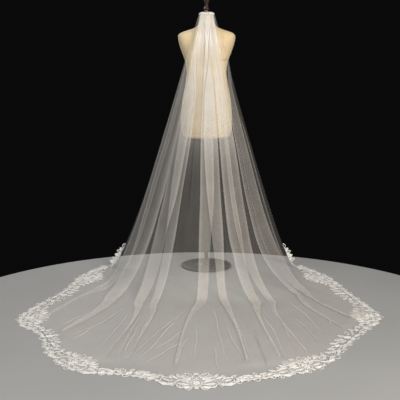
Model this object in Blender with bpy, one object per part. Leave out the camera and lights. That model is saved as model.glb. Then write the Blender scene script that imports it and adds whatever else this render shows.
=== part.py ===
"""Cathedral bridal veil gathered over the neck of a limbless dress form.

Frame: metres, +Z up, the origin under the middle of the stand's base plate, on the floor.
The back of the form faces -Y.  The veil falls behind the form as a straight-sided tent and its
train lies on the floor towards -Y.  X runs from the left side edge of the veil to the right one.

The tulle is one wall.  It is laid out on a base surface with two coordinates:
    lateral   -1 at the left side edge, 0 in the middle of the back, +1 at the right side edge
    run       0 at the header, 1 where the cloth lands on the floor, 2 at the hem
and the deep folds, gathers and floor creases are worked out on that surface.
"""

import math
from collections import namedtuple

import bmesh
import bpy
import numpy as np
from mathutils import Vector
from mathutils.geometry import delaunay_2d_cdt

# --------------------------------------------------------------------------------------
# Driving sizes
# --------------------------------------------------------------------------------------

VEIL_TOP = 1.585            # height of the gathered upper edge of the tulle
HEADER_TOP = 1.600          # top of the gathered header that sits on the neck
WALL = 0.0011               # thickness of the tulle wall
LACE = 0.0012               # thickness of the lace
SEAM = 0.0003               # gap kept between pieces that touch
TENT_LEAN = -0.010          # sideways drift of the tent's middle at the floor
NECK_RADIUS = 0.0400        # of the form's neck at its top

# Where the straight fall of a rail turns into its landing curve: height at the middle of the
# back, and what is added towards the side edges.
KNEE_MIDDLE = 0.15
KNEE_SIDE_EXTRA = 0.60

# Gathers under the header.
GATHER_DEPTH = 0.0065
GATHER_END = 0.25           # run at which they have smoothed out
GATHER_PATTERN = (0.0, 0.0, 1.0, 1.0)
GATHER_SIDES = (0.20, 0.46)  # from the side edges, in lateral units: none, full depth

# Runs over which the gathered cloth rises into steps, and the steps turn over into lying folds.
FOLD_RISE = (0.08, 0.21)
FOLD_TURN = (0.21, 0.29, 0.50)  # evenly spread, upright steps, turned over

# On the floor the folds end again: turned over, upright steps, spread out, sunk to the floor.
OUTER_END = (1.04, 1.42, 1.49, 1.57)
INNER_END = (1.04, 1.57, 1.65, 1.76)
SPREAD_STEP = 0.012         # from strand to strand once a fold has spread out
TURN_BACK = (0.70, 1.00, 1.30)  # levels along a layer that runs back, from the layer below
DIP_SLOPE = 0.8             # of the cloth that sags between two raised folds
FOLD_MARGIN = 0.12          # of a fold's width, kept between an edge and a line inside it
CORNER_LIMIT = 0.72         # least share of the wall's thickness across a corner of a fold

# Strands of the plain stretches, as shares of their width: before each pair of folds, then
# after the last pair, and from the second crease to the right side edge.
PANEL_SHARES = ((0.0, 0.12, 0.34, 0.62, 0.88), (), (0.12, 0.55), (), ())
CREASE_SHARES = (0.60,)
AFTER_SHARES = (0.75,)
LAST_SHARES = (0.16, 0.42, 0.68, 0.88, 1.0)

Section = namedtuple("Section", "height half_width side_back middle_back")
SECTIONS = [                # of the tent, top to floor
    Section(1.585, 0.0480, 0.000, 0.0500),
    Section(1.540, 0.0620, 0.045, 0.0720),
    Section(1.480, 0.0800, 0.100, 0.1130),
    Section(1.400, 0.1000, 0.124, 0.1430),
    Section(1.300, 0.1280, 0.118, 0.1760),
    Section(1.180, 0.1640, 0.080, 0.2160),
    Section(1.000, 0.2180, 0.035, 0.2860),
    Section(0.668, 0.3200, 0.000, 0.4170),
    Section(0.000, 0.5260, -0.030, 0.6900),
]

Rail = namedtuple("Rail", "lateral land_x land_y hem_x hem_y")
RAILS = [                   # where the cloth meets the floor, and the hem of the train
    Rail(-1.00, -0.630, 0.010, -0.662, 0.004),
    Rail(-0.90, -0.600, -0.190, -0.770, -0.240),
    Rail(-0.80, -0.608, -0.380, -0.840, -0.560),
    Rail(-0.66, -0.595, -0.590, -0.970, -1.075),
    Rail(-0.53, -0.520, -0.730, -0.820, -1.375),
    Rail(-0.44, -0.440, -0.800, -0.715, -1.615),
    Rail(-0.36, -0.360, -0.845, -0.570, -1.785),
    Rail(-0.28, -0.280, -0.860, -0.400, -1.840),
    Rail(-0.15, -0.150, -0.840, -0.225, -1.918),
    Rail(0.00, -0.010, -0.820, -0.055, -1.965),
    Rail(0.10, 0.085, -0.820, 0.105, -1.940),
    Rail(0.24, 0.240, -0.850, 0.335, -1.842),
    Rail(0.32, 0.330, -0.830, 0.485, -1.735),
    Rail(0.44, 0.440, -0.745, 0.650, -1.505),
    Rail(0.55, 0.520, -0.640, 0.795, -1.255),
    Rail(0.64, 0.565, -0.530, 0.890, -1.045),
    Rail(0.71, 0.572, -0.430, 0.868, -0.860),
    Rail(0.80, 0.568, -0.300, 0.810, -0.540),
    Rail(0.87, 0.562, -0.180, 0.755, -0.300),
    Rail(1.00, 0.575, 0.010, 0.607, 0.004),
]

# Lying folds.  Each is three layers of cloth between its left and right edge; the edges are
# given at six runs.  A fold that leans +1 climbs over the cloth to its left, one that leans
# -1 comes down from it.
FOLD_RUNS = (0.45, 0.68, 0.81, 0.93, 1.10, 1.88)
Fold = namedtuple("Fold", "name lean left right")
FOLDS = [
    Fold("F1", 1, (-0.790, -0.790, -0.785, -0.770, -0.745, -0.620),
         (-0.600, -0.645, -0.640, -0.665, -0.690, -0.590)),
    Fold("F2", 1, (-0.630, -0.660, -0.625, -0.615, -0.560, -0.510),
         (-0.455, -0.475, -0.513, -0.520, -0.500, -0.485)),
    Fold("F3", -1, (-0.440, -0.430, -0.445, -0.420, -0.380, -0.340),
         (-0.260, -0.300, -0.341, -0.356, -0.340, -0.310)),
    Fold("F4", -1, (-0.400, -0.371, -0.351, -0.333, -0.300, -0.285),
         (-0.214, -0.251, -0.266, -0.284, -0.265, -0.255)),
    Fold("F5", 1, (-0.070, -0.049, -0.048, -0.047, -0.064, -0.120),
         (0.086, 0.071, 0.040, 0.020, -0.021, -0.080)),
    Fold("F6", 1, (-0.025, 0.021, 0.052, 0.078, 0.089, 0.130),
         (0.146, 0.137, 0.137, 0.130, 0.128, 0.165)),
    Fold("F7", -1, (0.180, 0.185, 0.200, 0.245, 0.240, 0.225),
         (0.288, 0.282, 0.300, 0.300, 0.270, 0.255)),
    Fold("F8", -1, (0.263, 0.259, 0.281, 0.340, 0.315, 0.300),
         (0.395, 0.376, 0.378, 0.380, 0.345, 0.330)),
    Fold("F9", 1, (0.430, 0.430, 0.459, 0.530, 0.500, 0.480),
         (0.500, 0.490, 0.530, 0.580, 0.535, 0.510)),
    Fold("F10", 1, (0.470, 0.465, 0.510, 0.570, 0.560, 0.545),
         (0.610, 0.620, 0.645, 0.655, 0.600, 0.575)),
]

Loft = namedtuple("Loft", "run step")
LAYER_STEPS = [             # height from one layer of a fold to the next
    Loft(0.00, 0.0040),
    Loft(0.30, 0.0046),
    Loft(0.60, 0.0056),
    Loft(0.81, 0.0052),
    Loft(0.93, 0.0040),
    Loft(1.10, 0.0031),
    Loft(2.00, 0.0028),
]

Ridge = namedtuple("Ridge", "name lateral_start lateral_end opened start end height")
RIDGES = [                  # thin standing creases, each a pinch of cloth
    Ridge("R1", -0.155, -0.160, -0.192, 0.30, 0.74, 0.0080),
    Ridge("R2", 0.735, 0.690, 0.690, 0.36, 0.98, 0.0090),
]
RIDGE_FOOT = 0.008          # half the lateral width of a crease
RIDGE_SIDE = 0.012          # from its crest to the plain cloth beside it
RIDGE_FADE = 0.12           # run over which it grows and dies away

# Runs of the tulle's rows.
RUN_ROWS = (0.0, 0.05, 0.12, 0.17, 0.21, 0.29, 0.37, 0.46, 0.58, 0.72, 0.80, 0.86, 0.91,
            0.96, 1.0, 1.10, 1.22, 1.34, 1.42, 1.49, 1.57, 1.65, 1.76, 2.0)

# Lace border.
Medallion = namedtuple("Medallion", "name lateral scale")
MEDALLIONS = [
    Medallion("1", -0.885, 0.78),
    Medallion("2", -0.665, 1.00),
    Medallion("3", -0.395, 1.00),
    Medallion("4", 0.000, 1.00),
    Medallion("5", 0.300, 1.00),
    Medallion("6", 0.645, 0.96),
    Medallion("7", 0.880, 0.76),
]
HEM_SCALLOP = 0.042         # depth of the hem's scallop between two medallions
MEDALLION_CENTRE = 0.050    # from the hem
LINK_CENTRE = 0.022
LINK_GAP = 0.006            # a link stops short of the medallions beside it
END_LINK_START = 0.035      # from the hem's corner to the short link beside it
END_LINK_DEPTH = 0.60       # of a short link, as a share of the others'
TAIL_RUNS = (0.80, 0.96)    # stretch of each side edge that carries lace
TAIL_STEPS = 3              # cells of lace between two rows of the tulle
TAIL_COVER = 0.80           # share of the tulle's outermost cell that lies under the lace
TAIL_LEAN = 0.42            # slope of the free lace, which stands out from the edge
TAIL_WIDE = (0.018, 0.038)  # reach of the free lace at a scallop
TAIL_NARROW = (0.015, 0.022)

Finger = namedtuple("Finger", "angle reach width valley slot_start")
MEDALLION_FINGERS = [       # from the crown petal down one side; the other side is mirrored
    Finger(90.0, 0.143, 0.036, 0.110, 0.040),
    Finger(64.0, 0.138, 0.036, 0.104, 0.040),
    Finger(40.0, 0.136, 0.032, 0.108, 0.040),
    Finger(18.0, 0.158, 0.030, 0.120, 0.044),
    Finger(-2.0, 0.176, 0.028, 0.112, 0.046),
    Finger(-22.0, 0.130, 0.030, 0.082, 0.038),
    Finger(-50.0, 0.080, 0.032, 0.058, 0.0),
    Finger(-77.0, 0.063, 0.022, 0.055, 0.0),
]
LINK_FINGERS = [
    Finger(90.0, 0.064, 0.024, 0.044, 0.014),
    Finger(52.0, 0.070, 0.024, 0.050, 0.016),
    Finger(22.0, 0.100, 0.022, 0.066, 0.024),
    Finger(2.0, 0.132, 0.018, 0.070, 0.0),
    Finger(-25.0, 0.066, 0.018, 0.036, 0.0),
    Finger(-72.0, 0.030, 0.014, 0.026, 0.0),
]
PETAL_SHOULDERS = (0.90, 0.38)  # shares of a petal's reach and width
SLOT_WIDTH = 0.0100         # of the gaps between petals, at their outer end
SLOT_LAND = 0.016           # lace left between a gap and the valley outside it
ROSETTE_RINGS = (0.012, 0.025)
ROSETTE_ARCS = 3
ROSETTE_LAND = 32.0         # degrees of lace left between two arcs

# Dress form: half width and the depth to the front and to the back at each height.
Ring = namedtuple("Ring", "height half_width front back")
FORM_RINGS = [
    Ring(0.832, 0.118, 0.070, 0.080),
    Ring(0.838, 0.136, 0.084, 0.094),
    Ring(0.860, 0.149, 0.096, 0.107),
    Ring(0.960, 0.158, 0.105, 0.115),
    Ring(1.085, 0.147, 0.102, 0.103),
    Ring(1.170, 0.130, 0.096, 0.089),
    Ring(1.250, 0.122, 0.094, 0.083),
    Ring(1.310, 0.133, 0.110, 0.090),
    Ring(1.360, 0.152, 0.124, 0.098),
    Ring(1.410, 0.168, 0.112, 0.100),
    Ring(1.445, 0.175, 0.090, 0.090),
    Ring(1.466, 0.172, 0.072, 0.076),
    Ring(1.480, 0.152, 0.062, 0.066),
    Ring(1.493, 0.112, 0.055, 0.058),
    Ring(1.507, 0.072, 0.050, 0.052),
    Ring(1.525, 0.053, 0.046, 0.047),
    Ring(1.555, 0.043, 0.042, 0.042),
    Ring(1.586, 0.040, 0.040, 0.040),
    Ring(1.592, 0.036, 0.036, 0.036),
]
FORM_SEGMENTS = 24
TORSO_FULLNESS = 0.88       # 1 is an ellipse, less is squarer; the neck is round

HEADER_FLUTES = 15
HEADER_FLUTE_DEPTH = 0.0015
HEADER_RADIUS = 0.0475
HEADER_LAP = 0.0240         # radius at which the header's lap over the neck ends
HEADER_LAP_HEIGHT = 0.0025
HEADER_GAP = 0.0005         # between the tulle's upper edge and the header
HEADER_SWELL = 0.0020       # two soft rises of the header's top
HeaderRow = namedtuple("HeaderRow", "inset drop swelling")
HEADER_CREST = [            # over the top: from the outer face, and below the highest line
    HeaderRow(0.0000, 0.0085, 0.0),
    HeaderRow(0.0050, 0.0035, 0.4),
    HeaderRow(0.0120, 0.0012, 0.9),
    HeaderRow(0.0190, 0.0010, 1.0),
]
POLE_RADIUS = 0.0125
BASE_RADIUS = 0.160
BASE_THICKNESS = 0.014


# --------------------------------------------------------------------------------------
# Small helpers
# --------------------------------------------------------------------------------------

def smooth_lookup(x, knots, values):
    """Return a smooth curve through a table's rows, read at x."""
    knots = np.asarray(knots, dtype=float)
    values = np.asarray(values, dtype=float)
    x = np.clip(x, knots[0], knots[-1])
    gaps = np.diff(knots)
    chords = np.diff(values) / gaps
    slopes = np.empty(len(knots))
    slopes[0] = chords[0]
    slopes[-1] = chords[-1]
    slopes[1:-1] = (chords[:-1] * gaps[1:] + chords[1:] * gaps[:-1]) / (gaps[1:] + gaps[:-1])
    k = np.clip(np.searchsorted(knots, x, side="right") - 1, 0, len(knots) - 2)
    t = (x - knots[k]) / gaps[k]
    rise = t * t * (3.0 - 2.0 * t)
    return (values[k] * (1.0 - rise) + values[k + 1] * rise
            + gaps[k] * slopes[k] * t * (1.0 - t) ** 2
            - gaps[k] * slopes[k + 1] * t * t * (1.0 - t))


def ease(x, start, end):
    """Return 0 before start, 1 after end and a soft step between."""
    t = np.clip((np.asarray(x, dtype=float) - start) / (end - start), 0.0, 1.0)
    return t * t * (3.0 - 2.0 * t)


def column(table, name):
    """Return one named column of a table as an array."""
    return np.array([getattr(row, name) for row in table])


def unit(vectors):
    """Return vectors scaled to length one."""
    length = np.linalg.norm(vectors, axis=-1, keepdims=True)
    return vectors / np.maximum(length, 1e-12)


def make_material(name, colour, roughness, metallic=0.0):
    """Return a Principled material."""
    material = bpy.data.materials.new(name)
    material.use_nodes = True
    shader = material.node_tree.nodes["Principled BSDF"]
    shader.inputs["Base Color"].default_value = (*colour, 1.0)
    shader.inputs["Roughness"].default_value = roughness
    shader.inputs["Metallic"].default_value = metallic
    return material


def add_object(name, points, faces, material, smooth=True):
    """Add one mesh object with its faces turned outwards."""
    mesh = bpy.data.meshes.new(name)
    mesh.from_pydata([tuple(p) for p in points], [], [tuple(f) for f in faces])
    shell = bmesh.new()
    shell.from_mesh(mesh)
    bmesh.ops.recalc_face_normals(shell, faces=shell.faces)
    shell.to_mesh(mesh)
    shell.free()
    if smooth:
        mesh.shade_smooth()
    mesh.materials.append(material)
    thing = bpy.data.objects.new(name, mesh)
    bpy.context.scene.collection.objects.link(thing)
    return thing


def wall_between(outer, inner):
    """Return points and faces of the closed wall between two grids of the same shape.

    Each cell is split along its shorter diagonal, the same one on both sides, so that the wall
    keeps its thickness where a cell is twisted.
    """
    rows, columns = outer.shape[:2]
    count = rows * columns
    points = np.concatenate([outer.reshape(-1, 3), inner.reshape(-1, 3)])
    middle = 0.5 * (outer + inner)
    falling = np.linalg.norm(middle[:-1, :-1] - middle[1:, 1:], axis=-1)
    rising = np.linalg.norm(middle[:-1, 1:] - middle[1:, :-1], axis=-1)
    faces = []
    for i in range(rows - 1):
        for j in range(columns - 1):
            a = i * columns + j
            b = a + 1
            c = b + columns
            d = a + columns
            halves = ((a, b, c), (a, c, d))
            if rising[i, j] < falling[i, j]:
                halves = ((a, b, d), (b, c, d))
            for half in halves:
                faces.append(half)
                faces.append(tuple(k + count for k in reversed(half)))
    rim = list(range(columns))
    rim += [i * columns + columns - 1 for i in range(1, rows)]
    rim += [(rows - 1) * columns + j for j in range(columns - 2, -1, -1)]
    rim += [i * columns for i in range(rows - 2, 0, -1)]
    for a, b in zip(rim, rim[1:] + rim[:1]):
        faces.append((b, a, a + count, b + count))
    return points, faces


def turned(name, profile, segments, material):
    """Add a turned piece: profile rows are (radius, height), closed on the axis."""
    points = []
    for radius, height in profile:
        for k in range(segments):
            angle = 2.0 * math.pi * k / segments
            points.append((radius * math.cos(angle), radius * math.sin(angle), height))
    faces = []
    for i in range(len(profile) - 1):
        for k in range(segments):
            n = (k + 1) % segments
            faces.append((i * segments + k, i * segments + n,
                          (i + 1) * segments + n, (i + 1) * segments + k))
    last = (len(profile) - 1) * segments
    faces.append(tuple(reversed(range(segments))))
    faces.append(tuple(range(last, last + segments)))
    return add_object(name, points, faces, material)


# --------------------------------------------------------------------------------------
# The veil's base surface
# --------------------------------------------------------------------------------------

def tent_point(lateral, height):
    """Return points of the tent's sections at the given heights."""
    rows = SECTIONS[::-1]
    angle = lateral * math.pi / 2.0
    half_width = smooth_lookup(height, column(rows, "height"), column(rows, "half_width"))
    side = smooth_lookup(height, column(rows, "height"), column(rows, "side_back"))
    middle = smooth_lookup(height, column(rows, "height"), column(rows, "middle_back"))
    x = half_width * np.sin(angle) + TENT_LEAN * (1.0 - height / VEIL_TOP)
    y = -(side + (middle - side) * np.cos(angle))
    return np.stack([x, y, height], axis=-1)


def floor_curve(lateral, x_name, y_name):
    """Return a curve on the floor, such as the landing or the hem."""
    knots = column(RAILS, "lateral")
    x = smooth_lookup(lateral, knots, column(RAILS, x_name))
    y = smooth_lookup(lateral, knots, column(RAILS, y_name))
    return np.stack([x, y, np.zeros_like(x)], axis=-1)


def hem_point(lateral):
    """Return points of the hem, which is cut in a shallow scallop between two medallions."""
    landing = floor_curve(lateral, "land_x", "land_y")
    plain = floor_curve(lateral, "hem_x", "hem_y")
    order = np.interp(lateral, column(MEDALLIONS, "lateral"), range(len(MEDALLIONS)))
    depth = HEM_SCALLOP * np.sin(math.pi * order) ** 2
    return plain + unit(landing - plain) * depth[..., None]


def base_point(lateral, run):
    """Return points of the base surface, the side of the tulle that faces the form."""
    lateral, run = np.broadcast_arrays(np.asarray(lateral, float), np.asarray(run, float))
    knee_height = KNEE_MIDDLE + KNEE_SIDE_EXTRA * np.sin(lateral * math.pi / 2.0) ** 2
    knee_run = 1.0 - knee_height / VEIL_TOP
    landing = floor_curve(lateral, "land_x", "land_y")
    hem = hem_point(lateral)
    knee = tent_point(lateral, knee_height)
    foot = tent_point(lateral, np.zeros_like(lateral))
    fall = tent_point(lateral, np.clip(VEIL_TOP * (1.0 - run), 0.0, VEIL_TOP))
    t = np.clip((run - knee_run) / (1.0 - knee_run), 0.0, 1.0)[..., None]
    curve = (1.0 - t) ** 2 * knee + 2.0 * t * (1.0 - t) * foot + t * t * landing
    along = np.clip(run - 1.0, 0.0, 1.0)[..., None]
    floor = landing + (hem - landing) * along
    upright = (run <= knee_run)[..., None]
    flared = (run <= 1.0)[..., None]
    return np.where(upright, fall, np.where(flared, curve, floor))


def base_normal(lateral, run):
    """Return the base surface's normals: away from the form, and up on the floor."""
    step = 0.004
    across = base_point(np.clip(lateral + step, -1, 1), run) - base_point(
        np.clip(lateral - step, -1, 1), run)
    down = base_point(lateral, np.clip(run + step, 0, 2)) - base_point(
        lateral, np.clip(run - step, 0, 2))
    lying = (np.asarray(run) >= 1.0)[..., None]
    return np.where(lying, (0.0, 0.0, 1.0), unit(np.cross(down, across)))


# --------------------------------------------------------------------------------------
# The path of the cloth across the folds
# --------------------------------------------------------------------------------------

class Strand:
    """One lengthwise line of the tulle's grid."""

    def __init__(self, folded, opened, level, end):
        self.folded = folded        # lateral place where the cloth is folded, against run
        self.opened = opened        # lateral place where the folds have opened out
        self.level = level          # layers that lie under it
        self.end = end              # runs at which it leaves the folded place for the other
        self.step = None            # the two strands it stands between as an upright step
        self.ridge = None           # thin crease that this strand is the crest of
        self.centred = False        # stays midway between its neighbours
        self.dip = False            # sags between its neighbours


def fold_edge(values):
    """Return a function that reads one edge of a fold at a run."""
    return lambda run: smooth_lookup(run, FOLD_RUNS, values)


def between(first, second, share):
    """Return a function part of the way from one lateral line to another."""
    return lambda run: first(run) * (1.0 - share) + second(run) * share


def within(line, left, right):
    """Return a lateral line held between two others, a little in from each."""
    def held(run):
        margin = FOLD_MARGIN * (right(run) - left(run))
        return np.clip(line(run), left(run) + margin, right(run) - margin)
    return held


def constant(value):
    """Return a function that is the same at every run."""
    return lambda run: np.full_like(np.asarray(run, dtype=float), value)


def panel_strands(left, right, opened_left, opened_right, shares, level, end):
    """Return the strands of a plain stretch between two lateral lines."""
    strands = []
    for share in shares:
        opened = opened_left + (opened_right - opened_left) * share
        strands.append(Strand(between(left, right, share), opened, level, end))
    return strands


def pair_strands(one, two, level, end):
    """Return the strands of two neighbouring folds, and the level after them.

    The cloth runs to the first fold's right edge, back to its left edge, on to the second
    fold's right edge and back to its left edge.  Every layer has a strand wherever another
    layer has one near it, so that the layers bend alike and keep apart.
    """
    lean = one.lean
    left_one = fold_edge(one.left)
    right_one = fold_edge(one.right)
    left_two = fold_edge(two.left)
    right_two = fold_edge(two.right)
    in_one = within(left_two, left_one, right_one)
    in_two = within(right_one, left_two, right_two)
    start, middle, finish = TURN_BACK
    route = [
        (left_one, 0), (in_one, 0), (right_one, 0),
        (right_one, start), (in_one, middle), (left_one, finish),
        (left_one, 2), (in_one, 2), (in_two, 2), (right_two, 2),
        (right_two, 2 + start), (in_two, 2 + middle), (left_two, 2 + finish),
        (left_two, 4), (in_two, 4), (right_two, 4),
    ]
    steps = ((2, 6), (9, 13))
    centre_one = float(between(left_one, right_one, 0.5)(end[1]))
    centre_two = float(between(left_two, right_two, 0.5)(end[1]))
    middle_one, middle_two = [0.5 * (below + above) for below, above in steps]
    spread = min(SPREAD_STEP, (centre_two - centre_one) / (middle_two - middle_one))
    knots = (-1, steps[0][1], steps[1][0], len(route))
    opened = np.interp(range(-1, len(route) + 1), knots, (
        centre_one + (knots[0] - middle_one) * spread,
        centre_one + (knots[1] - middle_one) * spread,
        centre_two + (knots[2] - middle_two) * spread,
        centre_two + (knots[3] - middle_two) * spread))
    strands = []
    for index, (edge, layer) in enumerate(route):
        strands.append(Strand(edge, opened[index + 1], level + lean * layer, end))
    for below, above in steps:
        for strand in strands[below:above + 1]:
            strand.step = (strands[below], strands[above])
    return strands, level + 4 * lean, opened[0], opened[-1]


def ridge_strands(ridge):
    """Return three strands: foot, crest and foot of a thin crease."""
    strands = []
    for offset in (-RIDGE_FOOT, 0.0, RIDGE_FOOT):
        def line(run, offset=offset):
            """Return the crease's lateral place, read at run."""
            share = np.clip((np.asarray(run, float) - ridge.start)
                            / (ridge.end - ridge.start), 0.0, 1.0)
            return ridge.lateral_start + (ridge.lateral_end - ridge.lateral_start) * share + offset
        strands.append(Strand(line, ridge.opened + offset, 0.0, INNER_END))
    strands[1].ridge = ridge
    return strands


def all_strands():
    """Return every strand from the left side edge to the right one."""
    edge = constant(-1.0)
    opened_edge = -1.0
    ends = (OUTER_END, INNER_END, INNER_END, INNER_END, OUTER_END)
    strands = []
    level = 0.0
    for pair, end in enumerate(ends):
        one = FOLDS[2 * pair]
        two = FOLDS[2 * pair + 1]
        turns, following, first, last = pair_strands(one, two, level, end)
        if pair == 2:
            crease = RIDGES[0]
            strands += panel_strands(edge, constant(crease.lateral_start - RIDGE_SIDE),
                                     opened_edge, crease.opened - RIDGE_SIDE,
                                     PANEL_SHARES[pair], level, end)
            strands += ridge_strands(crease)
            strands += panel_strands(constant(crease.lateral_start + RIDGE_SIDE),
                                     fold_edge(one.left), crease.opened + RIDGE_SIDE, first,
                                     CREASE_SHARES, level, end)
        elif PANEL_SHARES[pair]:
            strands += panel_strands(edge, fold_edge(one.left), opened_edge, first,
                                     PANEL_SHARES[pair], level, end)
        else:
            middle = Strand(edge, first, level, end)
            middle.centred = True
            middle.dip = level > 0.0
            strands.append(middle)
        strands += turns
        level = following
        edge = fold_edge(two.right)
        opened_edge = last
    crease = RIDGES[1]
    strands += panel_strands(edge, constant(crease.lateral_end - RIDGE_SIDE), opened_edge,
                             crease.opened - RIDGE_SIDE, AFTER_SHARES, 0.5 * level, OUTER_END)
    strands += ridge_strands(crease)
    strands += panel_strands(constant(crease.lateral_start + RIDGE_SIDE), constant(1.0),
                             crease.opened + RIDGE_SIDE, 1.0, LAST_SHARES, 0.0, OUTER_END)
    return strands


def lateral_places(strands, run):
    """Return the lateral place of every strand at every run."""
    even = dict(zip(strands, np.linspace(-1.0, 1.0, len(strands))))
    spread, upright, turned_over = FOLD_TURN
    places = []
    for strand in strands:
        top = even[strand]
        bottom = strand.opened
        step_top = top
        step_bottom = bottom
        if strand.step is not None:
            step_top = 0.5 * (even[strand.step[0]] + even[strand.step[1]])
            step_bottom = 0.5 * (strand.step[0].opened + strand.step[1].opened)
        stand = np.clip((run - spread) / (upright - spread), 0.0, 1.0)
        turn = np.clip((run - upright) / (turned_over - upright), 0.0, 1.0)
        folded, stepped, spread_out = strand.end[:3]
        back = np.clip((run - folded) / (stepped - folded), 0.0, 1.0)
        out = np.clip((run - stepped) / (spread_out - stepped), 0.0, 1.0)
        place = top + (step_top - top) * stand
        place = place + (strand.folded(run) - place) * turn
        place = place + (step_bottom - place) * back
        place = place + (bottom - step_bottom) * out
        places.append(place)
    for index, strand in enumerate(strands):
        if strand.centred:
            places[index] = 0.5 * (places[index - 1] + places[index + 1])
    return np.clip(np.stack(places, axis=1), -1.0, 1.0)


def tulle_middle():
    """Return the grid of points in the middle of the tulle's wall, rows by run."""
    strands = all_strands()
    run = np.array(RUN_ROWS)
    step = smooth_lookup(run, column(LAYER_STEPS, "run"), column(LAYER_STEPS, "step"))
    rise = ease(run, *FOLD_RISE)
    gather = GATHER_DEPTH * (1.0 - ease(run, 0.0, GATHER_END))
    place = lateral_places(strands, run)
    height = np.zeros_like(place)
    for index, strand in enumerate(strands):
        sinking = ease(run, strand.end[2], strand.end[3])
        height[:, index] = strand.level * step * rise * (1.0 - sinking)
        side = ease(1.0 - abs(2.0 * index / (len(strands) - 1) - 1.0), *GATHER_SIDES)
        height[:, index] += gather * side * GATHER_PATTERN[index % len(GATHER_PATTERN)]
        if strand.ridge is not None:
            start, end = strand.ridge.start, strand.ridge.end
            shape = ease(run, start, start + RIDGE_FADE)
            shape = shape * (1.0 - ease(run, end - RIDGE_FADE, end))
            height[:, index] += strand.ridge.height * shape
    base = base_point(place, run[:, None])
    for index, strand in enumerate(strands):
        if strand.dip:
            gap = np.linalg.norm(base[:, index + 1] - base[:, index - 1], axis=-1)
            sag = np.maximum(height[:, index - 1] - DIP_SLOPE * gap, 0.0)
            height[:, index] = np.where(run >= FOLD_TURN[2], sag, height[:, index])
    grid = base + base_normal(place, run[:, None]) * (height + WALL / 2.0)[..., None]
    grid[0, :, 2] = VEIL_TOP
    return grid


def wall_normals(grid):
    """Return the normals of the folded wall, lengthened where it turns a corner."""
    steps = unit(np.diff(grid, axis=1))
    across = np.empty_like(grid)
    across[:, 1:-1] = steps[:, :-1] + steps[:, 1:]
    across[:, 0] = steps[:, 0] * 2.0
    across[:, -1] = steps[:, -1] * 2.0
    corner = np.clip(np.linalg.norm(across, axis=-1) / 2.0, CORNER_LIMIT, 1.0)
    down = np.empty_like(grid)
    down[1:-1] = grid[2:] - grid[:-2]
    down[0] = grid[1] - grid[0]
    down[-1] = grid[-1] - grid[-2]
    return unit(np.cross(down, across)) / corner[..., None]


# --------------------------------------------------------------------------------------
# Lace
# --------------------------------------------------------------------------------------

def direction(angle):
    """Return the unit vector at an angle in degrees."""
    return np.array([math.cos(math.radians(angle)), math.sin(math.radians(angle))])


def finger_outline(fingers, stretch_x, stretch_y, centre):
    """Return the lobed outline of a ring of petals, and the slots between them."""
    slots = []
    half = []
    for index, finger in enumerate(fingers):
        axis = direction(finger.angle)
        side = np.array([-axis[1], axis[0]])
        last = index + 1 == len(fingers)
        next_angle = -90.0 if last else fingers[index + 1].angle
        valley_angle = next_angle if last else 0.5 * (finger.angle + next_angle)
        along = axis * finger.reach * PETAL_SHOULDERS[0]
        corner = side * finger.width * PETAL_SHOULDERS[1]
        if index > 0:
            half.append(along + corner)
        half.append(axis * finger.reach)
        half.append(along - corner)
        half.append(direction(valley_angle) * finger.valley)
        if finger.slot_start > 0.0:
            slot_axis = direction(valley_angle)
            slot_side = np.array([-slot_axis[1], slot_axis[0]]) * SLOT_WIDTH / 2.0
            end = slot_axis * (finger.valley - SLOT_LAND)
            slots.append([slot_axis * finger.slot_start, end - slot_side, end + slot_side])
    mirror = np.array([-1.0, 1.0])
    outline = half + [p * mirror for p in half[-2:0:-1]]
    slots += [[p * mirror for p in slot[::-1]] for slot in slots]
    scale = np.array([stretch_x, stretch_y])
    shift = np.array([0.0, centre])
    outline = [p * scale + shift for p in outline]
    slots = [[p * scale + shift for p in slot] for slot in slots]
    return outline, slots


def rosette_gaps(scale, centre):
    """Return the curved gaps round the middle of a medallion."""
    gaps = []
    inner, outer = ROSETTE_RINGS
    span = 360.0 / ROSETTE_ARCS
    for k in range(ROSETTE_ARCS):
        start = 90.0 + (k - 0.5) * span + ROSETTE_LAND / 2.0
        stops = [start + (span - ROSETTE_LAND) * share for share in (0.0, 0.5, 1.0)]
        ring = [direction(a) * outer for a in stops]
        ring += [direction(a) * inner for a in stops[::-1]]
        gaps.append([p * scale + np.array([0.0, centre]) for p in ring])
    return gaps


class HemLine:
    """The hem as a curve with a length, for placing lace along it."""

    def __init__(self):
        lateral = np.linspace(-1.0, 1.0, 801)
        plain = floor_curve(lateral, "hem_x", "hem_y")[:, :2]
        lengths = np.linalg.norm(np.diff(plain, axis=0), axis=1)
        self.lateral = lateral
        self.points = hem_point(lateral)[:, :2]
        self.distance = np.concatenate([[0.0], np.cumsum(lengths)])
        tangent = unit(np.gradient(plain, axis=0))
        self.inward = np.stack([-tangent[:, 1], tangent[:, 0]], axis=1)

    def at_lateral(self, lateral):
        """Return the distance along the hem at a lateral place."""
        return float(np.interp(lateral, self.lateral, self.distance))

    def place(self, distance, inward):
        """Return the plan point at a distance along the hem and another inward from it."""
        x = np.interp(distance, self.distance, self.points[:, 0])
        y = np.interp(distance, self.distance, self.points[:, 1])
        nx = np.interp(distance, self.distance, self.inward[:, 0])
        ny = np.interp(distance, self.distance, self.inward[:, 1])
        return np.array([x + nx * inward, y + ny * inward])


def inside(point, loop):
    """Return whether a plan point lies inside a closed loop."""
    result = False
    for (ax, ay), (bx, by) in zip(loop, loop[1:] + loop[:1]):
        if (ay > point[1]) != (by > point[1]):
            if point[0] < (bx - ax) * (point[1] - ay) / (by - ay) + ax:
                result = not result
    return result


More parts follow.
